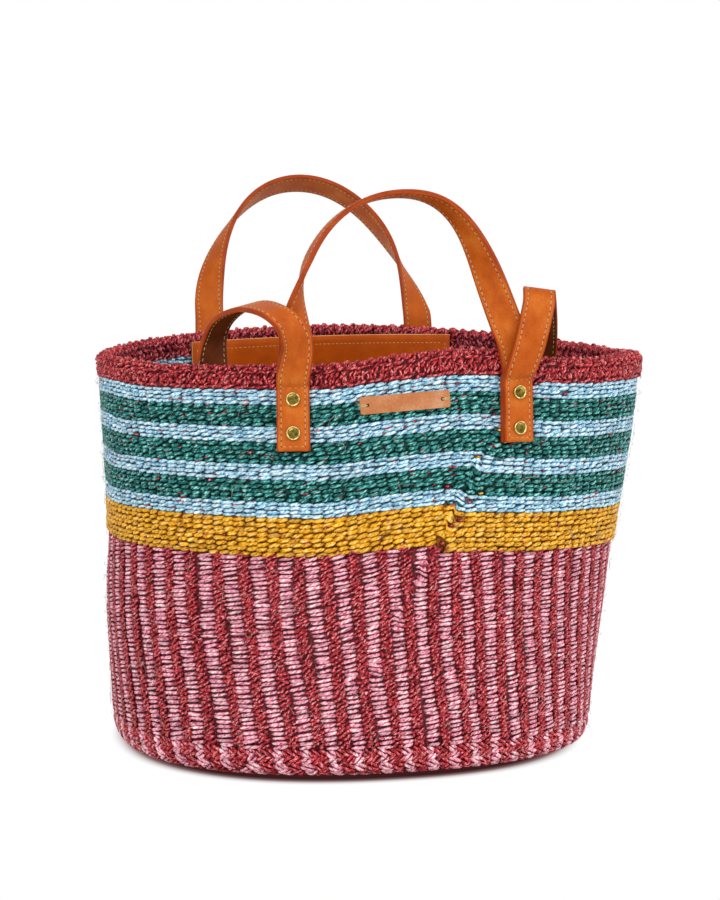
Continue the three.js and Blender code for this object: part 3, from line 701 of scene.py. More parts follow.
def rim():
    """The thick rim: a chain along its foot, steep strands up its sides and slanted ones over the top."""
    pile = Pile()
    end = 2 * RIM_STRAIGHT + RIM_ARC
    section = [(along, -0.4) for along in levels_between(0, end, 3)]
    backing(pile, rim_surface, section, 1)
    top = RIM_STRAIGHT + RIM_ARC / 2
    bundles = round(ROUND_LENGTH / BUNDLE_PITCH)
    # Each row: place along the section, slope, its scatter, half length, half width, bulge, distance apart.
    rows = (
        (1.5, 20, 14, 3.0, 1.25, 1.5, 4.0),
        (5.0, 76, 26, 3.2, 1.15, 1.8, 2.5),
        (8.4, 52, 30, 3.0, 1.15, 1.9, 2.8),
        (11.6, 24, 20, 3.3, 1.3, 1.8, 4.2),
        (14.6, 60, 26, 2.8, 1.3, 1.7, 3.0),
        (top, 44, 22, 3.6, 1.5, 2.1, 2.8),
        (top + 3.4, 56, 22, 3.4, 1.4, 2.1, 2.8),
        (end - 12.4, 66, 24, 4.2, 1.3, 2.1, 2.7),
        (end - 7.4, 112, 24, 3.8, 1.2, 1.9, 2.8),
        (end - 3.6, 62, 22, 3.4, 1.2, 1.8, 2.9),
        (end - 1.0, 25, 15, 3.0, 1.2, 1.4, 4.0),
    )
    # Rows past the top, on the rim's inner face, take the darker inner wine: painted shade.
    for at, angle, scatter, half_length, half_width, bulge, pitch in rows:
        count = round(ROUND_LENGTH / pitch)
        share = (np.arange(count) + rng.random()) / count + spread(count, 0.0008)
        turn = 2 * math.pi * bundles * (share + at * BUNDLE_LEAN / ROUND_LENGTH)
        gathered = 1 if at > 11 else 0.4
        share = share - gathered * BUNDLE_GATHER * np.sin(turn) / bundles
        bulge = bulge * (1 + gathered * BUNDLE_SWELL * np.cos(turn))
        stitches(pile, rim_surface, share, at + spread(count, 0.8), angle + spread(count, scatter),
                 half_length * varied(count, 0.2), half_width * varied(count, 0.2),
                 bulge * varied(count, 0.2), 2 if at > top + 5 else 0, LONG_RINGS, dive=1.3, pointed=2.0)
    stitches(pile, rim_surface, rng.random(LOOSE_STRANDS), rng.uniform(1, end - 1, LOOSE_STRANDS),
             rng.uniform(0, 180, LOOSE_STRANDS), 2.6, 0.42, 1.5 + spread(LOOSE_STRANDS, 0.4), 0, FINE_RINGS,
             lift=0.4, dive=1.4)
    on_basket(pile.build("rim_weave", [RIM_WINE, DARK_WINE, SHADED_INNER_WINE]), "wine_yarn", "rim")


def foot():
    """The braided foot: pink and wine strands that zigzag down, and slanted bundles at the bottom."""
    pile = Pile()
    end = FOOT_HEIGHT - FOOT_TURN + FOOT_ARC + 3
    under = [(along, -0.4) for along in levels_between(0, end, 2.5)]
    inner = [(end, -2.6), (FOOT_HEIGHT - FOOT_TURN, -3.5), (0, -3.5)]
    backing(pile, foot_surface, under + inner, 2)
    lean = COLUMN_LEAN * (LOWER_WALL_TOP - FOOT_HEIGHT)
    # Each row: place along the section, slope, shift, half length, half width, strands to a column.
    rows = (
        (2.2, 30, -1.4, 4.6, 1.5, 3),
        (6.8, -42, -0.6, 4.8, 1.45, 3),
        (11.6, 26, 0.6, 6.0, 1.7, 2),
        (16.4, -34, 2.2, 4.8, 1.6, 2),
        (20.6, 28, 4.0, 5.4, 1.6, 2),
        (23.6, 20, 6.0, 5.4, 1.5, 2),
    )
    for at, angle, shift, half_length, half_width, strands in rows:
        index = np.arange(strands * ROUND_COLUMNS)
        count = len(index)
        pink = (index % strands == 0) ^ (rng.random(count) < 0.04)
        turn = np.radians(angle)
        middle = column_place(index / strands + 0.5) + lean + shift + spread(count, 0.6)
        up = spread(count, 0.5)
        for side in (-0.62, 0.62):
            away = side * half_width * 1.5
            share = (middle - away * math.sin(turn)) / ROUND_LENGTH
            stitches(pile, foot_surface, share, at + up + away * math.cos(turn), angle + spread(count, 9),
                     half_length * varied(count, 0.16), half_width * varied(count, 0.16),
                     FOOT_STRAND * varied(count, 0.15), np.where(pink, 0, 1), LONG_RINGS, pointed=2.0)
    on_basket(pile.build("foot_weave", [PINK, WINE, DARK_WINE]), "wine_yarn", "foot_braid")


# How far in the base's rows go, how far apart they are, how long a stitch is, and which share is pink.
BASE_REACH, BASE_ROW, BASE_STITCH, BASE_PINK = 130, 4.4, 8.6, 0.4


def base_surface(level, way):
    """The base's upper (+1) or lower (-1) face: places round it, in from its edge and off it."""

    def surface(share, inward, lift):
        edge = wall(angle_of(share), 0 * share, -FOOT_THICKNESS - SEAT_GAP)
        points = edge * (1 - inward / BASE_REACH)[..., None]
        points[..., 2] = level + way * lift
        return points

    return surface


def base():
    """The flat base: ovals of coarse stitches in columns of pink and wine, seen from above and below."""
    pile = Pile()
    core = [(1.0, 1.6), (BASE_REACH - 1.0, 1.6), (BASE_REACH - 1.0, BASE_THICKNESS - 1.6),
            (1.0, BASE_THICKNESS - 1.6)]
    backing(pile, base_surface(0, 1), core, 2, steps=90)
    for level, way in ((BASE_THICKNESS - 1.3, 1), (1.3, -1)):
        surface = base_surface(level, way)
        for row in range(int((BASE_REACH - 2) / BASE_ROW)):
            inward = 2.2 + row * BASE_ROW
            length = ROUND_LENGTH * (1 - inward / BASE_REACH)
            count = max(5, round(length / BASE_STITCH))
            share = (np.arange(count) + 0.5 * (row % 2)) / count
            pink = (share * ROUND_COLUMNS) % 1 < BASE_PINK
            stitches(pile, surface, share, inward + spread(count, 0.3), 14 + spread(count, 8),
                     length / count * 0.62, BASE_ROW * 0.52, 1.2, np.where(pink, 0, 1), COARSE_RINGS,
                     scale=length, pointed=1.8)
    on_basket(pile.build("base_weave", [PINK, WINE, DARK_WINE]), "pink_and_wine_yarn", "basket_base")


LONG_HAIRS, SHORT_HAIRS = 400, 1000
HAIR_SIDES = 3


def hair_run(count, points, length, curl, stand, low, high):
    """Curly paths that leave the wall and come back near it, each as a row of points."""
    share = rng.random((count, 1))
    level = rng.uniform(low, high, (count, 1))
    along = np.linspace(0, 1, points)
    heading = rng.uniform(0, 2 * math.pi, (count, 1))
    bend = rng.normal(0, curl, (count, 1))
    sway = rng.normal(0, curl * 0.6, (count, 1))
    waves = rng.uniform(0.5, 1.6, (count, 1))
    direction = heading + bend * along + sway * np.sin(2 * math.pi * along * waves)
    reach = length * rng.uniform(0.5, 1.0, (count, 1)) / points
    x = np.cumsum(np.cos(direction), axis=1) * reach
    z = np.cumsum(np.sin(direction), axis=1) * reach
    height = stand * rng.uniform(0.3, 1.0, (count, 1))
    fall = rng.uniform(0.5, 1.0, (count, 1))
    off = height * np.sin(math.pi * np.minimum(along * fall, 1))
    return wall(angle_of(share + x / ROUND_LENGTH), np.clip(level + z, 3, RIM_TOP - 1), 1.0 + off)


def over_leather(path):
    """Which of the paths pass in front of the label or a strap's riveted end."""
    x, y, z = path[..., 0], path[..., 1], path[..., 2]
    hidden = (np.abs(x - LABEL_X) < LABEL_LENGTH / 2 + 2) & (np.abs(z - LABEL_LEVEL - 3) < 12) & (y < 0)
    for centre, span, side in ((FRONT_CENTRE, FRONT_SPAN, -1), (REAR_CENTRE, REAR_SPAN, 1)):
        for way in (-1, 1):
            near = np.abs(x - centre - way * span / 2) < STRAP_WIDTH / 2 + 3
            hidden |= near & (z > HANDLE_END_BOTTOM - 2) & (y * side > 0)
    return hidden.any(axis=1)


def hairs():
    """Loose sisal fibres that stand off the weave, long curly ones and a short fuzz."""
    pile = Pile()
    for count, points, length, curl, stand, radius, low in (
        (LONG_HAIRS, 10, 32, 2.4, 1.3, 0.11, 6),
        (SHORT_HAIRS, 5, 7, 1.6, 2.4, 0.12, 4),
    ):
        path = hair_run(count, points, length, curl, stand, low, RIM_TOP - 4)
        path = path[~over_leather(path)]
        count = len(path)
        onward = unit(np.gradient(path, axis=1))
        side = unit(np.cross(onward, [0.13, 0.31, 0.94]))
        up = np.cross(side, onward)
        taper = 1 - 0.75 * np.abs(np.linspace(-1, 1, points)) ** 3
        turn = np.arange(HAIR_SIDES) * 2 * math.pi / HAIR_SIDES
        ring = side[:, :, None] * np.cos(turn)[:, None] + up[:, :, None] * np.sin(turn)[:, None]
        body = path[:, :, None] + ring * radius * taper[:, None, None]
        body = body.reshape(count, -1, 3)
        whole = np.concatenate([path[:, :1], body, path[:, -1:]], axis=1).reshape(-1, 3)
        tipped(pile, whole, points, HAIR_SIDES, rng.choice([0, 0, 0, 1], count), whole, 0.0, 1.0)
    on_basket(pile.build("loose_fibres", [PALE_HAIR, RED_HAIR]), "pink_and_wine_yarn")


# Straps: two plies of leather, back to back, sewn along both edges.
STRAP_WIDTH = 21.5
PLY_THICKNESS = 1.6
STRAP_THICKNESS = 2 * PLY_THICKNESS + SEAT_GAP
HANDLE_END_BOTTOM = 210.5
RIVET_ROW_LOW, RIVET_ROW_HIGH = 222.5, 245
CREASE_BELOW_RIM = 1
STRAP_BEND = RIM_BOTTOM - CREASE_BELOW_RIM
RIM_SHOULDER = 0.2 * RIM_HEIGHT
# The front handle's right end starts higher, and its arch lands nearer to its middle.
FRONT_RIGHT_RAISE, FRONT_RIGHT_SHIFT = 3, -3.5
# Each handle's arch: its middle, its span, its rise and its lean in degrees.
FRONT_CENTRE, FRONT_SPAN, FRONT_ARCH_RISE, FRONT_ARCH_LEAN = 6.2, 148.6, 94.5, 6
REAR_CENTRE, REAR_SPAN, REAR_ARCH_RISE, REAR_ARCH_LEAN = 2.6, 162.6, 118.5, 30
HINGE_ABOVE_RIM, HINGE_OFF_RIM = 8, 3.5
# The long strap: how far back and down it turns into the bag, how deep it hangs, the share of its run over
# which it twists at each end, and how far its loops reach.
LONG_SETBACK, LONG_DROP, LONG_SAG, LONG_TWIST = 43, 28, 150, 0.3
LEFT_REACH, LEFT_HEIGHT, RIGHT_REACH, RIGHT_HEIGHT = 46, 21.5, 30.5, 31
STITCH_INSET = 3.0
STITCH_PITCH = 3.8


# How often the search for an angle halves its range.
HALVINGS = 36


def angle_at_x(x, level, side):
    """Where the front (-1) or rear (+1) wall passes an X at a level."""
    low = np.full(np.shape(x), math.pi if side < 0 else 0.0)
    high = low + math.pi
    for _ in range(HALVINGS):
        middle = (low + high) / 2
        ahead = (wall(middle, level, 0)[..., 0] - x) * side > 0
        low, high = np.where(ahead, middle, low), np.where(ahead, high, middle)
    return (low + high) / 2


def wall_frame(x, level, side):
    """A point of the wall's outer face, the way out of it and the level way along it."""
    x, level = np.broadcast_arrays(np.asarray(x, float), np.asarray(level, float))
    angle = angle_at_x(x, level, side)
    along = wall(angle + 0.02, level, 0) - wall(angle - 0.02, level, 0)
    along[..., 2] = 0
    along = unit(along)
    upward = wall(angle, level + 1, 0) - wall(angle, level - 1, 0)
    return wall(angle, level, 0), unit(np.cross(along, upward)), -side * along


def hinge_of(centre, span, side):
    points = [wall_frame(centre + way * span / 2, RIM_TOP, side)[0] for way in (-1, 1)]
    reach = max(point[1] * side for point in points) + RIM_SWELL + HINGE_OFF_RIM
    return side * reach, max(point[2] for point in points) + HINGE_ABOVE_RIM


def flat_end(x, side, layer, raised=0.0):
    """Centres and faces of a strap end from its bottom up to the rim. Layer 1 lies over layer 0."""
    lift = SEAT_GAP + STRAP_THICKNESS / 2 + layer * (STRAP_THICKNESS + SEAT_GAP)
    centres, faces = [], []
    for level in (HANDLE_END_BOTTOM + raised, RIVET_ROW_LOW, RIVET_ROW_HIGH, STRAP_BEND):
        point, out, _ = wall_frame(x, level, side)
        centres.append(point + out * lift)
        faces.append(out)
    point, out, _ = wall_frame(x, RIM_BOTTOM + RIM_SHOULDER, side)
    centres.append(point + out * (lift + RIM_SWELL + SEAT_GAP * (1 + 3 * layer)))
    faces.append(out)
    return centres, faces


def bezier(a, b, c, d, t):
    t = t[:, None]
    return (1 - t) ** 3 * a + 3 * (1 - t) ** 2 * t * b + 3 * (1 - t) * t**2 * c + t**3 * d


def arch(feet, rise, lean, hinge, side, shape):
    """Centres and faces of a handle's arch, from two Bezier halves that meet at the crown."""
    crown, (left_lean, left_pull, left_round, left_twist), right = shape
    right_lean, right_pull, right_round, right_twist = right
    middle, half = (feet[0] + feet[1]) / 2, (feet[1] - feet[0]) / 2
    up = np.array([0, math.sin(math.radians(lean)), math.cos(math.radians(lean))])
    foot = np.array([middle, *hinge])

    def at(along, height):
        return foot + np.array([along, 0, 0]) + up * height * rise

    t = np.linspace(0, 1, 60)
    left = bezier(at(-half, 0), at(-half + left_lean, left_pull), at(crown - left_round, 1), at(crown, 1), t)
    right = bezier(at(crown, 1), at(crown + right_round, 1), at(half - right_lean, right_pull),
                   at(half, 0), t)
    path = np.concatenate([left, right[1:]])
    share = travelled(path)
    share = share / share[-1]
    onward = unit(np.gradient(path, share, axis=0))
    depth = np.cross([1, 0, 0], up)
    outward = unit(np.cross(depth, onward))
    from_end = np.where(share < 0.5, share / left_twist, (1 - share) / right_twist)
    turn = (np.sin(np.minimum(from_end, 1) * math.pi / 2) * math.pi / 2)[:, None]
    faces = -side * depth * np.cos(turn) - outward * np.sin(turn)
    keep = slice(3, -3)
    return list(path[keep]), list(faces[keep])


class Ribbon:
    """A strap along smooth centres and faces: places along it and across it become points."""

    def __init__(self, centres, faces, step=2.0):
        centres, faces = np.array(centres, float), unit(np.array(faces, float))
        gaps = np.linalg.norm(np.diff(centres, axis=0), axis=1)
        knots = np.concatenate([[0], np.cumsum(np.sqrt(gaps))])
        at = np.linspace(0, knots[-1], 900)
        path, face = self.through(knots, centres, at), self.through(knots, faces, at)
        length = travelled(path)
        self.length = length[-1]
        self.stitches = round((self.length - 2 * STITCH_INSET) / STITCH_PITCH)
        self.places = np.linspace(0, self.length, max(2, round(self.length / step)) + 1)
        self.centres, face = between(self.places, length, path), between(self.places, length, face)
        onward = unit(np.gradient(self.centres, axis=0))
        self.across = unit(np.cross(face, onward))
        self.faces = unit(np.cross(onward, self.across))

    @staticmethod
    def through(knots, values, at):
        """A smooth curve through values at knots."""
        steps = np.diff(knots)[:, None]
        slopes = np.diff(values, axis=0) / steps
        inner = (slopes[:-1] * steps[1:] + slopes[1:] * steps[:-1]) / (steps[:-1] + steps[1:])
        slopes = np.concatenate([slopes[:1], inner, slopes[-1:]])
        i = np.clip(np.searchsorted(knots, at, side="right") - 1, 0, len(knots) - 2)
        h = (knots[i + 1] - knots[i])[:, None]
        t = (at - knots[i])[:, None] / h
        return ((2 * t**3 - 3 * t**2 + 1) * values[i] + (t**3 - 2 * t**2 + t) * h * slopes[i]
                + (3 * t**2 - 2 * t**3) * values[i + 1] + (t**3 - t**2) * h * slopes[i + 1])

    def surface(self, along, across, lift):
        """A point on the strap: how far along, how far across, and how high above its middle."""
        along, across, lift = np.broadcast_arrays(along, across, lift)
        centre, sideways, upward = (between(along, self.places, values)
                                    for values in (self.centres, self.across, self.faces))
        return centre + sideways * across[..., None] + upward * lift[..., None]

    def under(self, along, across, lift):
        return self.surface(along, -across, -lift)


# A strap's section near an edge: how far in from the edge, and how far below its face.
STRAP_PROFILE = (
    (0.0, 1.15), (0.12, 0.6), (0.42, 0.22), (1.0, 0.06), (2.2, 0.05), (3.0, 0.24), (3.8, 0.06), (6.0, 0.0),
)
SEAM_GROOVE, SEAM_HALF_GAP = 0.14, 0.16


def strap_body(pile, ribbon):
    """Two plies sewn back to back, with one painted edge that shows a fine line where they meet."""
    half = STRAP_WIDTH / 2
    quarter = [(half - inward, STRAP_THICKNESS / 2 - drop) for inward, drop in STRAP_PROFILE]
    middle = [(half, SEAM_HALF_GAP), (half - SEAM_GROOVE, 0.0), (half, -SEAM_HALF_GAP)]
    right = quarter[::-1] + middle + [(x, -y) for x, y in quarter]
    across, lift = np.array(right + [(-x, y) for x, y in right[::-1]]).T
    along = ribbon.places[:, None]
    uneven = 0.1 * np.sin(along / 9 + across / 6) * (np.abs(across) > half - 0.6)
    face, side = len(STRAP_PROFILE) - 1, len(right)
    column = np.arange(2 * side)
    edge = (column % side >= face - 3) & (column % side < side - face + 2)
    slots = np.where(edge, 1, np.where((column < face) | (column >= 2 * side - 1 - face), 0, 2))
    sewn = ribbon.stitches * STITCH_PITCH / (ribbon.length - 2 * STITCH_INSET)
    swept(pile, ribbon.surface(along, across + uneven, lift), slots,
          ((along - STITCH_INSET) * sewn, across, 3 * lift))


def seam(pile, surface, start, end, fixed, turned=False):
    """A row of thread stitches on a strap, along it or across it."""
    count = round(abs(end - start) / STITCH_PITCH)
    run = start + (np.arange(count) + 0.5) * (end - start) / count
    fixed = np.full(count, float(fixed))
    along, across = (fixed, run) if turned else (run, fixed)
    stitches(pile, surface, along, across, (90 if turned else 0) + spread(count, 5), 1.6, 0.33, 0.32, 0,
             lift=STRAP_THICKNESS / 2 - 0.1, dive=0.5, scale=1.0)


def strap_piece(name, ribbon, lining, parts):
    """A strap with both its plies and its thread, in place of the model's plies."""
    pile = Pile()
    strap_body(pile, ribbon)
    body = pile.build(name + "_leather", [LEATHER, LEATHER_EDGE, lining])
    pile = Pile()
    side = STRAP_WIDTH / 2 - STITCH_INSET
    last = ribbon.length - STITCH_INSET
    for surface in (ribbon.surface, ribbon.under):
        for way in (-1, 1):
            seam(pile, surface, STITCH_INSET, last, way * side)
    for place in (STITCH_INSET, TAB_TOP, last, ribbon.length - TAB_TOP):
        seam(pile, ribbon.surface, -side, side, place, turned=True)
    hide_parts(*[part + ply for part in parts for ply in ("_outer_ply", "_lining")])
    for piece in (body, pile.build(name + "_thread", [THREAD])):
        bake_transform(piece)


FRONT_HINGE = hinge_of(FRONT_CENTRE, FRONT_SPAN, -1)
REAR_HINGE = hinge_of(REAR_CENTRE, REAR_SPAN, 1)
SEAM_BELOW_BEND = 1.5
TAB_TOP = STRAP_BEND - SEAM_BELOW_BEND - HANDLE_END_BOTTOM


def handle(name, centre, span, rise, lean, hinge, side, shape, right_raise, right_shift):
    """A whole grab handle: its left end on the wall, its arch and its right end."""
    xs = [centre - span / 2, centre + span / 2]
    feet = [xs[0], xs[1] + right_shift]
    left, left_faces = flat_end(xs[0], side, 0)
    right, right_faces = flat_end(xs[1], side, 0, right_raise)
    over, over_faces = arch(feet, rise, lean, hinge, side, shape)
    face = np.array([0.0, side, 0.0])
    pivots = [np.array([foot, *hinge]) for foot in feet]
    ribbon = Ribbon(left + pivots[:1] + over + pivots[1:] + right[::-1],
                    left_faces + [face] + over_faces + [face] + right_faces[::-1])
    parts = [name] + [name.replace("handle", way + "_handle_end") for way in ("left", "right")]
    strap_piece(name, ribbon, LINING, parts)


# Each arch: how far its crown is off its middle, then for each side its lean, pull, roundness and twist.
FRONT_SHAPE = (2, (-2, 0.52, 50, 0.22), (20, 0.55, 44, 0.5))
REAR_SHAPE = (1, (2, 0.5, 47, 0.42), (3, 0.53, 46, 0.29))

# The long strap's loops: sideways, back from the handle's flexing line, above it, turned and rolled.
LEFT_BENDS = (
    (0.03, -0.09, -0.22, 0.18, 0),
    (0.08, -0.17, 0.12, 0.24, 0),
    (0.28, -0.22, 0.7, 0.36, 0.12),
    (0.58, 0.22, 1, 0.6, 0.25),
    (0.87, 0.74, 0.64, 0.75, 0.1),
    (0.97, 1.02, 0.1, 0.8, 0),
    (1, 1.06, -0.42, 0.4, 0),
)
RIGHT_BENDS = (
    (0.22, -0.03, -0.16, 0, 0),
    (0.3, -0.03, 0.16, -0.05, 0),
    (0.46, 0.03, 0.74, -0.12, -0.1),
    (0.54, 0.17, 1, -0.14, -0.12),
    (0.66, 0.35, 0.76, -0.12, -0.1),
    (0.88, 0.68, 0.16, -0.05, 0),
    (1, 0.91, -0.26, 0, 0),
)


def loop_end(x, way, reach, height, bends, raised):
    """Centres and faces of one end of the long strap, from its tab over the rim to where it hangs."""
    centres, faces = flat_end(x, -1, 1, raised)
    front = -STRAP_THICKNESS - 5 * SEAT_GAP
    crosswise = []
    for aside, back, above, skew, roll in bends + ((1, 1, -LONG_DROP / height, 0, 0),):
        y = FRONT_HINGE[0] + front + back * (LONG_SETBACK - front)
        centres.append(np.array([x + way * aside * reach, y, FRONT_HINGE[1] + above * height]))
        crosswise.append(np.array([1.0, skew, roll]))
    onward = unit(np.gradient(np.array(centres), axis=0))
    for across, ahead in zip(crosswise, onward[-len(crosswise):]):
        faces.append(unit(np.cross(unit(across - ahead * across.dot(ahead)), ahead)))
    return centres, faces


def long_strap():
    """The long strap, in one piece: both tabs and loops, and the part that hangs inside."""
    xs = [FRONT_CENTRE - FRONT_SPAN / 2, FRONT_CENTRE + FRONT_SPAN / 2]
    left, left_faces = loop_end(xs[0], -1, LEFT_REACH, LEFT_HEIGHT, LEFT_BENDS, 0)
    right, right_faces = loop_end(xs[1], 1, RIGHT_REACH, RIGHT_HEIGHT, RIGHT_BENDS, FRONT_RIGHT_RAISE)
    y, z = FRONT_HINGE[0] + LONG_SETBACK, FRONT_HINGE[1] - LONG_DROP
    low_x, high_x = xs[0] - LEFT_REACH, xs[1] + RIGHT_REACH
    half = (high_x - low_x) / 2
    angle = np.linspace(0, math.pi, 61)[2:-2]
    c, s, flat = np.cos(angle), np.sin(angle), 0 * angle
    hang = np.stack([(low_x + high_x) / 2 - half * c, y + flat, z - LONG_SAG * s], axis=-1)
    onward = unit(np.stack([half * s, flat, -LONG_SAG * c], axis=-1))
    inward = np.stack([onward[:, 2], flat, -onward[:, 0]], axis=-1)
    share = angle / math.pi
    turn = (ease(np.minimum(share, 1 - share) / LONG_TWIST) * math.pi / 2)[:, None]
    faces = np.array([0.0, 1.0, 0.0]) * np.cos(turn) + inward * np.sin(turn)
    ribbon = Ribbon(left + list(hang) + right[::-1], left_faces + list(faces) + right_faces[::-1])
    parts = ("long_strap", "long_strap_left_end", "long_strap_right_end")
    # Its underside takes the lining darkened with painted shade.
    strap_piece("long_strap", ribbon, SHADED_LINING, parts)


def leather(name, tones, roughness, strap):
    """Smooth tanned leather. A strap's is also darker at its edges, with dots of painted shade where the
    thread goes into its holes.
    """
    n, grain = started(name)
    mottle = n.noise(grain, (0.07, 0.09, 0.08), 4.0, 0.55)
    pore = n.noise(grain, (1.3, 1.5, 1.0), 3.0, 0.65)
    scuff = n.noise(grain, (0.16, 1.4, 0.5), 3.0, 0.6)
    colour = n.ramp(n.total((mottle, 0.52), (pore, 0.38), (scuff, 0.1)), (0.3, 0.5, 0.7), tones)
    if strap:
        place = n.parts(grain)
        from_edge = n.maths("SUBTRACT", STRAP_WIDTH / 2, n.maths("ABSOLUTE", place["Y"]))
        worn = n.smooth(from_edge, 0.0, 1.1, 0.74, 1.0)
        # Painted shade: dark dots in the stitch holes, where the thread goes into the leather.
        along = n.maths("PINGPONG", place["X"], STITCH_PITCH / 2)
        across = n.maths("SUBTRACT", from_edge, STITCH_INSET)
        away = n.maths("SQRT", n.total((along, along), (across, across)))
        colour = n.scaled_colour(colour, n.maths("MULTIPLY", worn, n.smooth(away, 0.3, 0.75, 0.5, 1.0)))
    cells = n.add("ShaderNodeTexVoronoi", {"Vector": grain, "Scale": 1.5}, feature="DISTANCE_TO_EDGE")
    pebble = n.smooth(cells.outputs["Distance"], 0.0, 0.16, 0.0, 1.0)
    height = n.maths("ADD", n.maths("MULTIPLY", pebble, 0.4), pore)
    roughness = n.maths("MULTIPLY_ADD", pore, 0.2, roughness - 0.1)
    return n.shaded(colour, roughness, n.bump(height, 0.1, 0.6), specular=0.16)


def thread(name, tones):
    """Waxed thread, twisted along its run."""
    n, grain = started(name)
    place = n.parts(grain)
    twist = n.maths("SINE", n.maths("MULTIPLY", n.maths("ADD", place["X"], place["Y"]), 9.0))
    fuzz = n.noise(grain, (1.5, 5.0, 1.0), 2.0, 0.6)
    colour = n.ramp(n.maths("MULTIPLY_ADD", twist, 0.14, fuzz), (0.3, 0.62), tones)
    return n.shaded(colour, 0.65, n.bump(twist, 0.05, 0.6))


def metal(name, tones, roughness):
    """Antique brass, a little tarnished and scratched."""
    n, grain = started(name)
    tarnish = n.noise(grain, (0.45, 0.45, 0.45), 4.0, 0.6)
    scratch = n.noise(grain, (1.2, 9.0, 1.2), 2.0, 0.6)
    roughness = n.maths("MULTIPLY_ADD", tarnish, 0.2, roughness)
    colour = n.ramp(tarnish, (0.36, 0.6), tones)
    return n.shaded(colour, roughness, n.bump(scratch, 0.02, 0.4), metallic=1.0)


LEATHER = leather("tan_leather", "A44006 C05A10 D67A2A", 0.5, True)
LEATHER_EDGE = leather("leather_edge", "882C04 A43E0A BA541A", 0.42, False)
# The same leather as the face, a little darker: painted shade on a handle's underside.
LINING = leather("leather_lining", "A44206 B8540C C8681A", 0.55, True)
# The lining, much darker: painted shade on the long strap's underside.
SHADED_LINING = leather("painted_shade_lining", "4A1C06 622A06 7A380C", 0.6, True)
LABEL_LEATHER = leather("label_leather", "A85C30 BE7A4C D4A07C", 0.5, False)
POCKET_LEATHER = leather("pocket_leather", "A24000 B84C00 C85E06", 0.55, False)
RAW_EDGE = leather("raw_leather_edge", "C08040 E0A868 F2D0A0", 0.7, False)
THREAD = thread("cream_thread", "98743E D8BC8C")
# One brass in two tones: darker on a cap's disc as a painted dark reflection, lighter on its ring as a
# painted highlight.
BRASS_DARK_REFLECTION = metal("brass_cap_dark_reflection", "54461A 907A38", 0.12)
BRASS_RING_HIGHLIGHT = metal("brass_ring_highlight", "A08A44 E4D68E", 0.14)


# A rivet cap from its centre out: a flat middle, a groove and a raised ring.
CAP_PROFILE = (
    (0.0, 1.3), (1.9, 1.28), (3.2, 1.2), (3.4, 1.1), (3.55, 1.25), (3.8, 1.6), (4.1, 1.72), (4.4, 1.55),
    (4.6, 1.1), (4.65, 0.5), (4.55, 0.0),
)
CAP_DISC_RINGS, CAP_SIDES = 3, 36
BACK_RISE = 0.64
BACK_PROFILE = ((0.0, BACK_RISE), (2.6, 0.62), (3.4, 0.48), (4.2, 0.12), (4.5, -0.3), (4.5, -0.9))
FACET_SAG = 0.35
RIVET_ENGAGEMENT = 0.9


def turned(pile, point, out, profile):
    """A closed turned form that stands out from a point, from a profile of radii and heights."""
    flat_side = unit(np.cross(out, [0.0, 0.0, 1.0]))
    counts = [1] + [CAP_SIDES] * (len(profile) - 1) + [1]
    radius, rise = np.repeat(np.array([*profile, (0.0, profile[-1][1])]), counts, axis=0).T
    around = np.arange(CAP_SIDES) * 2 * math.pi / CAP_SIDES
    angle = np.concatenate([[0], np.tile(around, len(profile) - 1), [0]])
    local = np.stack([radius * np.cos(angle), radius * np.sin(angle), rise], axis=-1)
    points = point + local @ np.stack([flat_side, np.cross(flat_side, out), out])
    quads, triangles = grid_faces(len(profile) - 1, CAP_SIDES, 1)
    # The disc takes the brass with a painted dark reflection, the ring the one with a painted highlight.
    slots = np.arange(len(quads)) // CAP_SIDES >= CAP_DISC_RINGS
    pile.add(points, quads, triangles, (slots, 0), local + rng.uniform(0, 50), 0.0, 1.0)


def rivets():
    """Caps outside and back caps inside, two at each strap end."""
    inside = -WALL_THICKNESS - FACET_SAG - SEAT_GAP - RIVET_ENGAGEMENT
    for stem, centre, span, side, layers in (("front", FRONT_CENTRE, FRONT_SPAN, -1, 2),
                                             ("rear", REAR_CENTRE, REAR_SPAN, 1, 1)):
        over = SEAT_GAP + layers * (STRAP_THICKNESS + SEAT_GAP)
        for way, row in itertools.product((-1, 1), (-1, 1)):
            level = RIVET_ROW_LOW if row < 0 else RIVET_ROW_HIGH
            point, out, _ = wall_frame(centre + way * span / 2, level, side)
            name = stem + ("_left" if way < 0 else "_right") + ("_lower" if row < 0 else "_upper") + "_rivet"
            ends = (("_cap", over, 1, CAP_PROFILE), ("_back", inside, -1, BACK_PROFILE))
            for end, start, facing, profile in ends:
                pile = Pile()
                turned(pile, point + out * start, out * facing, profile)
                on_basket(pile.build(name + end + "_brass", [BRASS_DARK_REFLECTION, BRASS_RING_HIGHLIGHT]), "brass", name + end)


LABEL_LENGTH, LABEL_THICKNESS = 60.5, 1.5
LABEL_X, LABEL_LEVEL, LABEL_TILT = 4.3, 240, 4
LABEL_HOLE_INSET = 5
# How far inward of a hole the label's thread starts, and how far past the label's end it ends.
THREAD_WITHIN, THREAD_PAST = 0.4, 0.9


def label_place():
    """The label's middle, the way along it, the way up it and the way out of the wall."""
    point, out, along = wall_frame(LABEL_X, LABEL_LEVEL, -1)
    upward = unit(np.cross(out, along))
    tilt = math.radians(LABEL_TILT)
    return (point + out * SEAT_GAP, along * math.cos(tilt) + upward * math.sin(tilt),
            upward * math.cos(tilt) - along * math.sin(tilt), out)


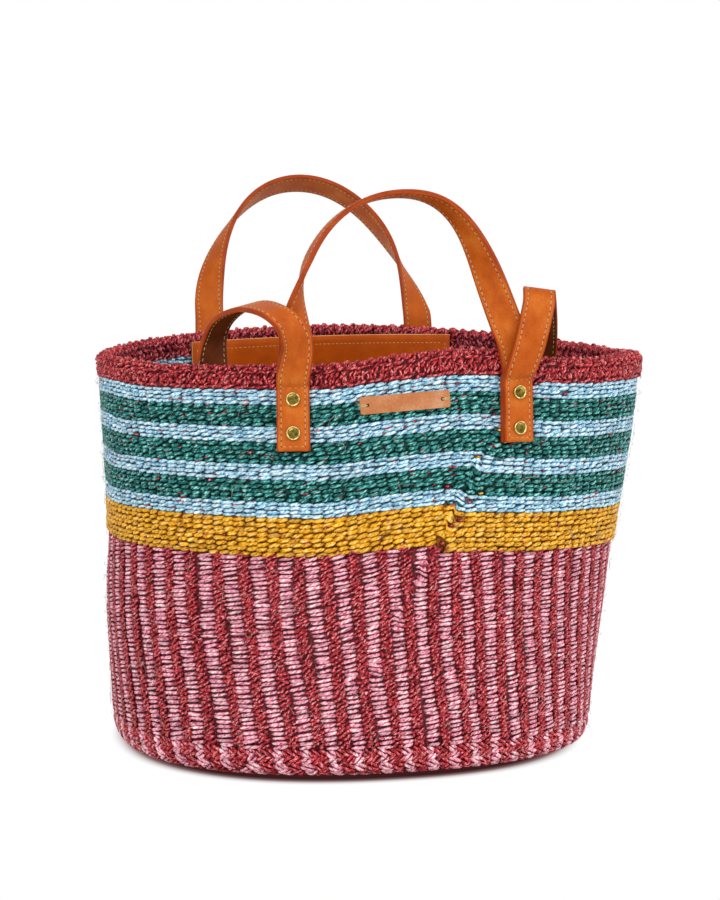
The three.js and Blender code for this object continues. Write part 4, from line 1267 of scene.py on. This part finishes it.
def label():
    """The bare leather label with its bevelled edge, and the thread that holds it at both ends."""
    mesh = bpy.data.objects["label"].data.copy()
    mesh.name = "label_leather"
    middle, along, upward, out = label_place()
    points = np.empty(len(mesh.vertices) * 3)
    mesh.vertices.foreach_get("co", points)
    away = points.reshape(-1, 3) / MM - middle
    grain = mesh.attributes.new("grain", "FLOAT_VECTOR", "POINT")
    local = np.stack([away @ along, away @ upward * 0.6, away @ out], axis=-1)
    grain.data.foreach_set("vector", local.astype(np.float32).ravel())
    mesh.materials.clear()
    mesh.materials.append(LABEL_LEATHER)
    piece = placed("label_leather", mesh)
    flatten = piece.modifiers.new("flatten", "DECIMATE")
    flatten.decimate_type = "DISSOLVE"
    flatten.angle_limit = math.radians(2)
    round_edge = piece.modifiers.new("round_edge", "BEVEL")
    round_edge.width = 0.35 * MM
    round_edge.segments = 3
    round_edge.limit_method = "ANGLE"
    round_edge.angle_limit = math.radians(50)
    on_basket(piece, "label_leather", "label")

    def surface(across, upward_by, lift):
        across, upward_by, lift = (v[..., None] for v in np.broadcast_arrays(across, upward_by, lift))
        return middle + along * across + upward * upward_by + out * lift

    pile = Pile()
    hole, end = LABEL_LENGTH / 2 - LABEL_HOLE_INSET - THREAD_WITHIN, LABEL_LENGTH / 2 + THREAD_PAST
    for way, strand in itertools.product((-1, 1), (-1, 0, 1)):
        stitches(pile, surface, np.array([way * (hole + end) / 2]), strand * 0.55, strand * 5.0 * way,
                 (end - hole) / 2 + 0.3, 0.36, 0.42, 0, lift=LABEL_THICKNESS + 0.3, dive=1.5, scale=1.0)
    on_basket(pile.build("label_thread", [THREAD]), "label_leather")


POCKET_WIDTH, POCKET_CENTRE_X, POCKET_HEIGHT, POCKET_BELOW_RIM = 207, 3.5, 120, 12
POCKET_THICKNESS, POCKET_SLACK, POCKET_FULLNESS, POCKET_RELIEF = 1.6, 19, 0.75, 14
POCKET_ROUNDING = 0.35
POCKET_PITCH, POCKET_INSET = 3.4, 6.0
MOUTH_LIFT, MOUTH_CLIMB, MOUTH_CROWN = 1.1, 2.0, 2.2


def pocket_surface(u, v, lift):
    """The pocket's panel: u from side to side and v from its foot to its mouth."""
    u, v, lift = np.broadcast_arrays(u, v, lift)
    x = POCKET_CENTRE_X + u * POCKET_WIDTH / 2
    z = RIM_TOP + REAR_RISE - POCKET_BELOW_RIM - (1 - v) * POCKET_HEIGHT
    z = z + (MOUTH_LIFT + MOUTH_CLIMB * u + MOUTH_CROWN * (1 - u * u)) * np.maximum(v, 0)
    level = z
    for _ in range(4):
        level = z - row_rise(angle_at_x(x, level, 1), level)
    point, out, _ = wall_frame(x, level, 1)
    over_rim = ease((v - 0.6) / 0.3) * RIM_SWELL
    slack = POCKET_SLACK * (1 - u * u) * np.maximum(v, 0) ** POCKET_FULLNESS
    posts = np.array([
        wall_frame(REAR_CENTRE + way * REAR_SPAN / 2, row, 1)[0]
        for way in (-1, 1) for row in (RIVET_ROW_LOW, RIVET_ROW_HIGH)
    ])
    away = np.linalg.norm(point[..., None, :] - posts, axis=-1).min(axis=-1)
    relief = (RIVET_ENGAGEMENT + BACK_RISE + 2 * SEAT_GAP) * ease(2 - away / POCKET_RELIEF)
    depth = WALL_THICKNESS + FACET_SAG + SEAT_GAP + over_rim + np.maximum(slack, relief) + lift
    out = out * [1, 1, 0]
    point = point - unit(out) * depth[..., None]
    point[..., 2] = z
    return point


def pocket():
    """The slip pocket inside the rear wall, one sewn panel with a pale raw edge at its mouth."""
    u = np.linspace(-1, 1, 61)[:, None]
    v = np.linspace(0, 1, 31)
    mouth = 1 + POCKET_ROUNDING / POCKET_HEIGHT
    section = [(place, 0.0) for place in v]
    section += [(mouth, POCKET_THICKNESS * 0.3), (mouth, POCKET_THICKNESS * 0.7)]
    section += [(place, POCKET_THICKNESS) for place in v[::-1]]
    at, lift = np.array(section).T
    column = np.arange(len(section))
    raw = (column >= len(v) - 1) & (column < len(v) + 2)
    pile = Pile()
    swept(pile, pocket_surface(u, at, lift), raw, (u * POCKET_WIDTH / 2, at * POCKET_HEIGHT, lift))
    on_basket(pile.build("pocket_leather", [POCKET_LEATHER, RAW_EDGE]), "leather", "pocket_panel")

    def sewn(u, v, lift):
        return pocket_surface(u / (POCKET_WIDTH / 2), v / POCKET_HEIGHT, lift)

    pile = Pile()
    near = POCKET_INSET * 0.6
    side = POCKET_WIDTH / 2 - near
    for turn, length, start, line in (
        (0, POCKET_WIDTH, None, POCKET_HEIGHT - POCKET_INSET),
        (0, POCKET_WIDTH, None, near),
        (90, POCKET_HEIGHT, POCKET_INSET, -side),
        (90, POCKET_HEIGHT, POCKET_INSET, side),
    ):
        count = round((length - 2 * POCKET_INSET) / POCKET_PITCH)
        run = (start or -count * POCKET_PITCH / 2) + (np.arange(count) + 0.5) * POCKET_PITCH
        line = np.full(count, line)
        across, upward = (line, run) if turn else (run, line)
        stitches(pile, sewn, across, upward, turn + spread(count, 3), 1.4, 0.36, 0.34, 0, COARSE_RINGS,
                 lift=POCKET_THICKNESS - 0.05, dive=0.4, scale=1.0)
    on_basket(pile.build("pocket_thread", [THREAD]), "leather")


stripes()
lower_wall()
rim()
foot()
base()
hairs()
handle("front_handle", FRONT_CENTRE, FRONT_SPAN, FRONT_ARCH_RISE, FRONT_ARCH_LEAN, FRONT_HINGE, -1,
       FRONT_SHAPE, FRONT_RIGHT_RAISE, FRONT_RIGHT_SHIFT)
handle("rear_handle", REAR_CENTRE, REAR_SPAN, REAR_ARCH_RISE, REAR_ARCH_LEAN, REAR_HINGE, 1,
       REAR_SHAPE, 0, 0)
long_strap()
rivets()
label()
pocket()


# The camera, pitched down a little, with the photograph's frame of 720 by 900.
FRAME_HEIGHT = 900
FRAME_LONG_SIDE = 36.0
CAMERA_AZIMUTH = math.radians(14)
CAMERA_SIDE = 7.0
CAMERA_DISTANCE = 1531.6
CAMERA_HEIGHT = 330.8
CAMERA_PITCH = 0.0845
CAMERA_FOCAL = 2160.1


def camera():
    data = bpy.data.cameras.new("camera")
    data.lens = CAMERA_FOCAL / FRAME_HEIGHT * FRAME_LONG_SIDE
    data.sensor_width = FRAME_LONG_SIDE
    data.clip_end = 20
    eye = placed("camera", data)
    c, s = math.cos(CAMERA_AZIMUTH), math.sin(CAMERA_AZIMUTH)
    x = c * CAMERA_SIDE - s * CAMERA_DISTANCE
    y = -s * CAMERA_SIDE - c * CAMERA_DISTANCE
    eye.location = (x * MM, y * MM, CAMERA_HEIGHT * MM)
    eye.rotation_euler = (math.pi / 2 - CAMERA_PITCH, 0, -CAMERA_AZIMUTH)
    bpy.context.scene.camera = eye


def lamp(name, size, energy, place, target):
    """A round lamp at a place, turned to a target."""
    data = bpy.data.lights.new(name, "AREA")
    data.shape = "DISK"
    data.size = size
    data.energy = energy
    light = placed(name, data)
    light.location = place
    light.rotation_euler = (Vector(target) - Vector(place)).to_track_quat("-Z", "Y").to_euler()


WHITE = (1, 1, 1, 1)
WORLD_STRENGTH = 0.5
FLOOR_HALF_SIZE = 3.0
# The painted shadow round the foot: its shift and half its size each way, and the shares of that size it
# fades over.
SHADOW_SIDES = (("X", 6, 155), ("Y", 5, 152))
SHADOW_FROM, SHADOW_TO = 0.95, 1.07
SHADOW_PLACES, SHADOW_TONES = (0.0, 0.3, 0.65, 1.0), "3C1C1C 84686A D6CCCC FFFFFF"


def world():
    """Light from all round, behind which the camera sees plain white."""
    n = Nodes(bpy.data.worlds.new("studio"))
    lit = n.tree.nodes["Background"]
    n.set(lit, "Color", WHITE)
    n.set(lit, "Strength", WORLD_STRENGTH)
    white = n.add("ShaderNodeBackground", {"Color": WHITE, "Strength": 1.0})
    n.seen_white(lit, white, "World Output")
    bpy.context.scene.world = n.owner


def floor():
    """A white floor that fades into the white round it, with a soft shadow painted close to the bag."""
    mesh = bpy.data.meshes.new("floor")
    half = FLOOR_HALF_SIZE
    corners = [(-half, -half, 0), (half, -half, 0), (half, half, 0), (-half, half, 0)]
    mesh.from_pydata(corners, [], [(0, 1, 2, 3)])
    n = Nodes(bpy.data.materials.new("white_floor"))
    n.shaded((0.9, 0.9, 0.9, 1), 0.9, (0, 0, 0))
    place = n.parts(n.add("ShaderNodeNewGeometry").outputs["Position"])
    power = BASE_SQUARENESS + FOOT_SQUARENESS
    away = []
    for axis, shift, reach in SHADOW_SIDES:
        off = n.maths("ABSOLUTE", n.maths("ADD", place[axis], shift * MM))
        away.append(n.maths("POWER", n.maths("DIVIDE", off, reach * MM), power))
    away = n.maths("POWER", n.maths("ADD", *away), 1 / power)
    tone = n.ramp(n.smooth(away, SHADOW_FROM, SHADOW_TO, 0.0, 1.0), SHADOW_PLACES, SHADOW_TONES)
    # Camera, gloss and glass rays see the painted shadow; other rays see the lit floor.
    n.seen_white(n.surface, n.add("ShaderNodeEmission", {"Color": tone}), "Material Output")
    mesh.materials.append(n.owner)
    placed("floor", mesh)


camera()
world()
floor()
lamp("key", 1.6, 34, (-1.1, -1.9, 1.7), (0, 0, 0.18))
lamp("fill", 2.0, 20, (1.7, -1.2, 1.2), (0, 0, 0.2))
bpy.context.scene.view_settings.view_transform = "Standard"
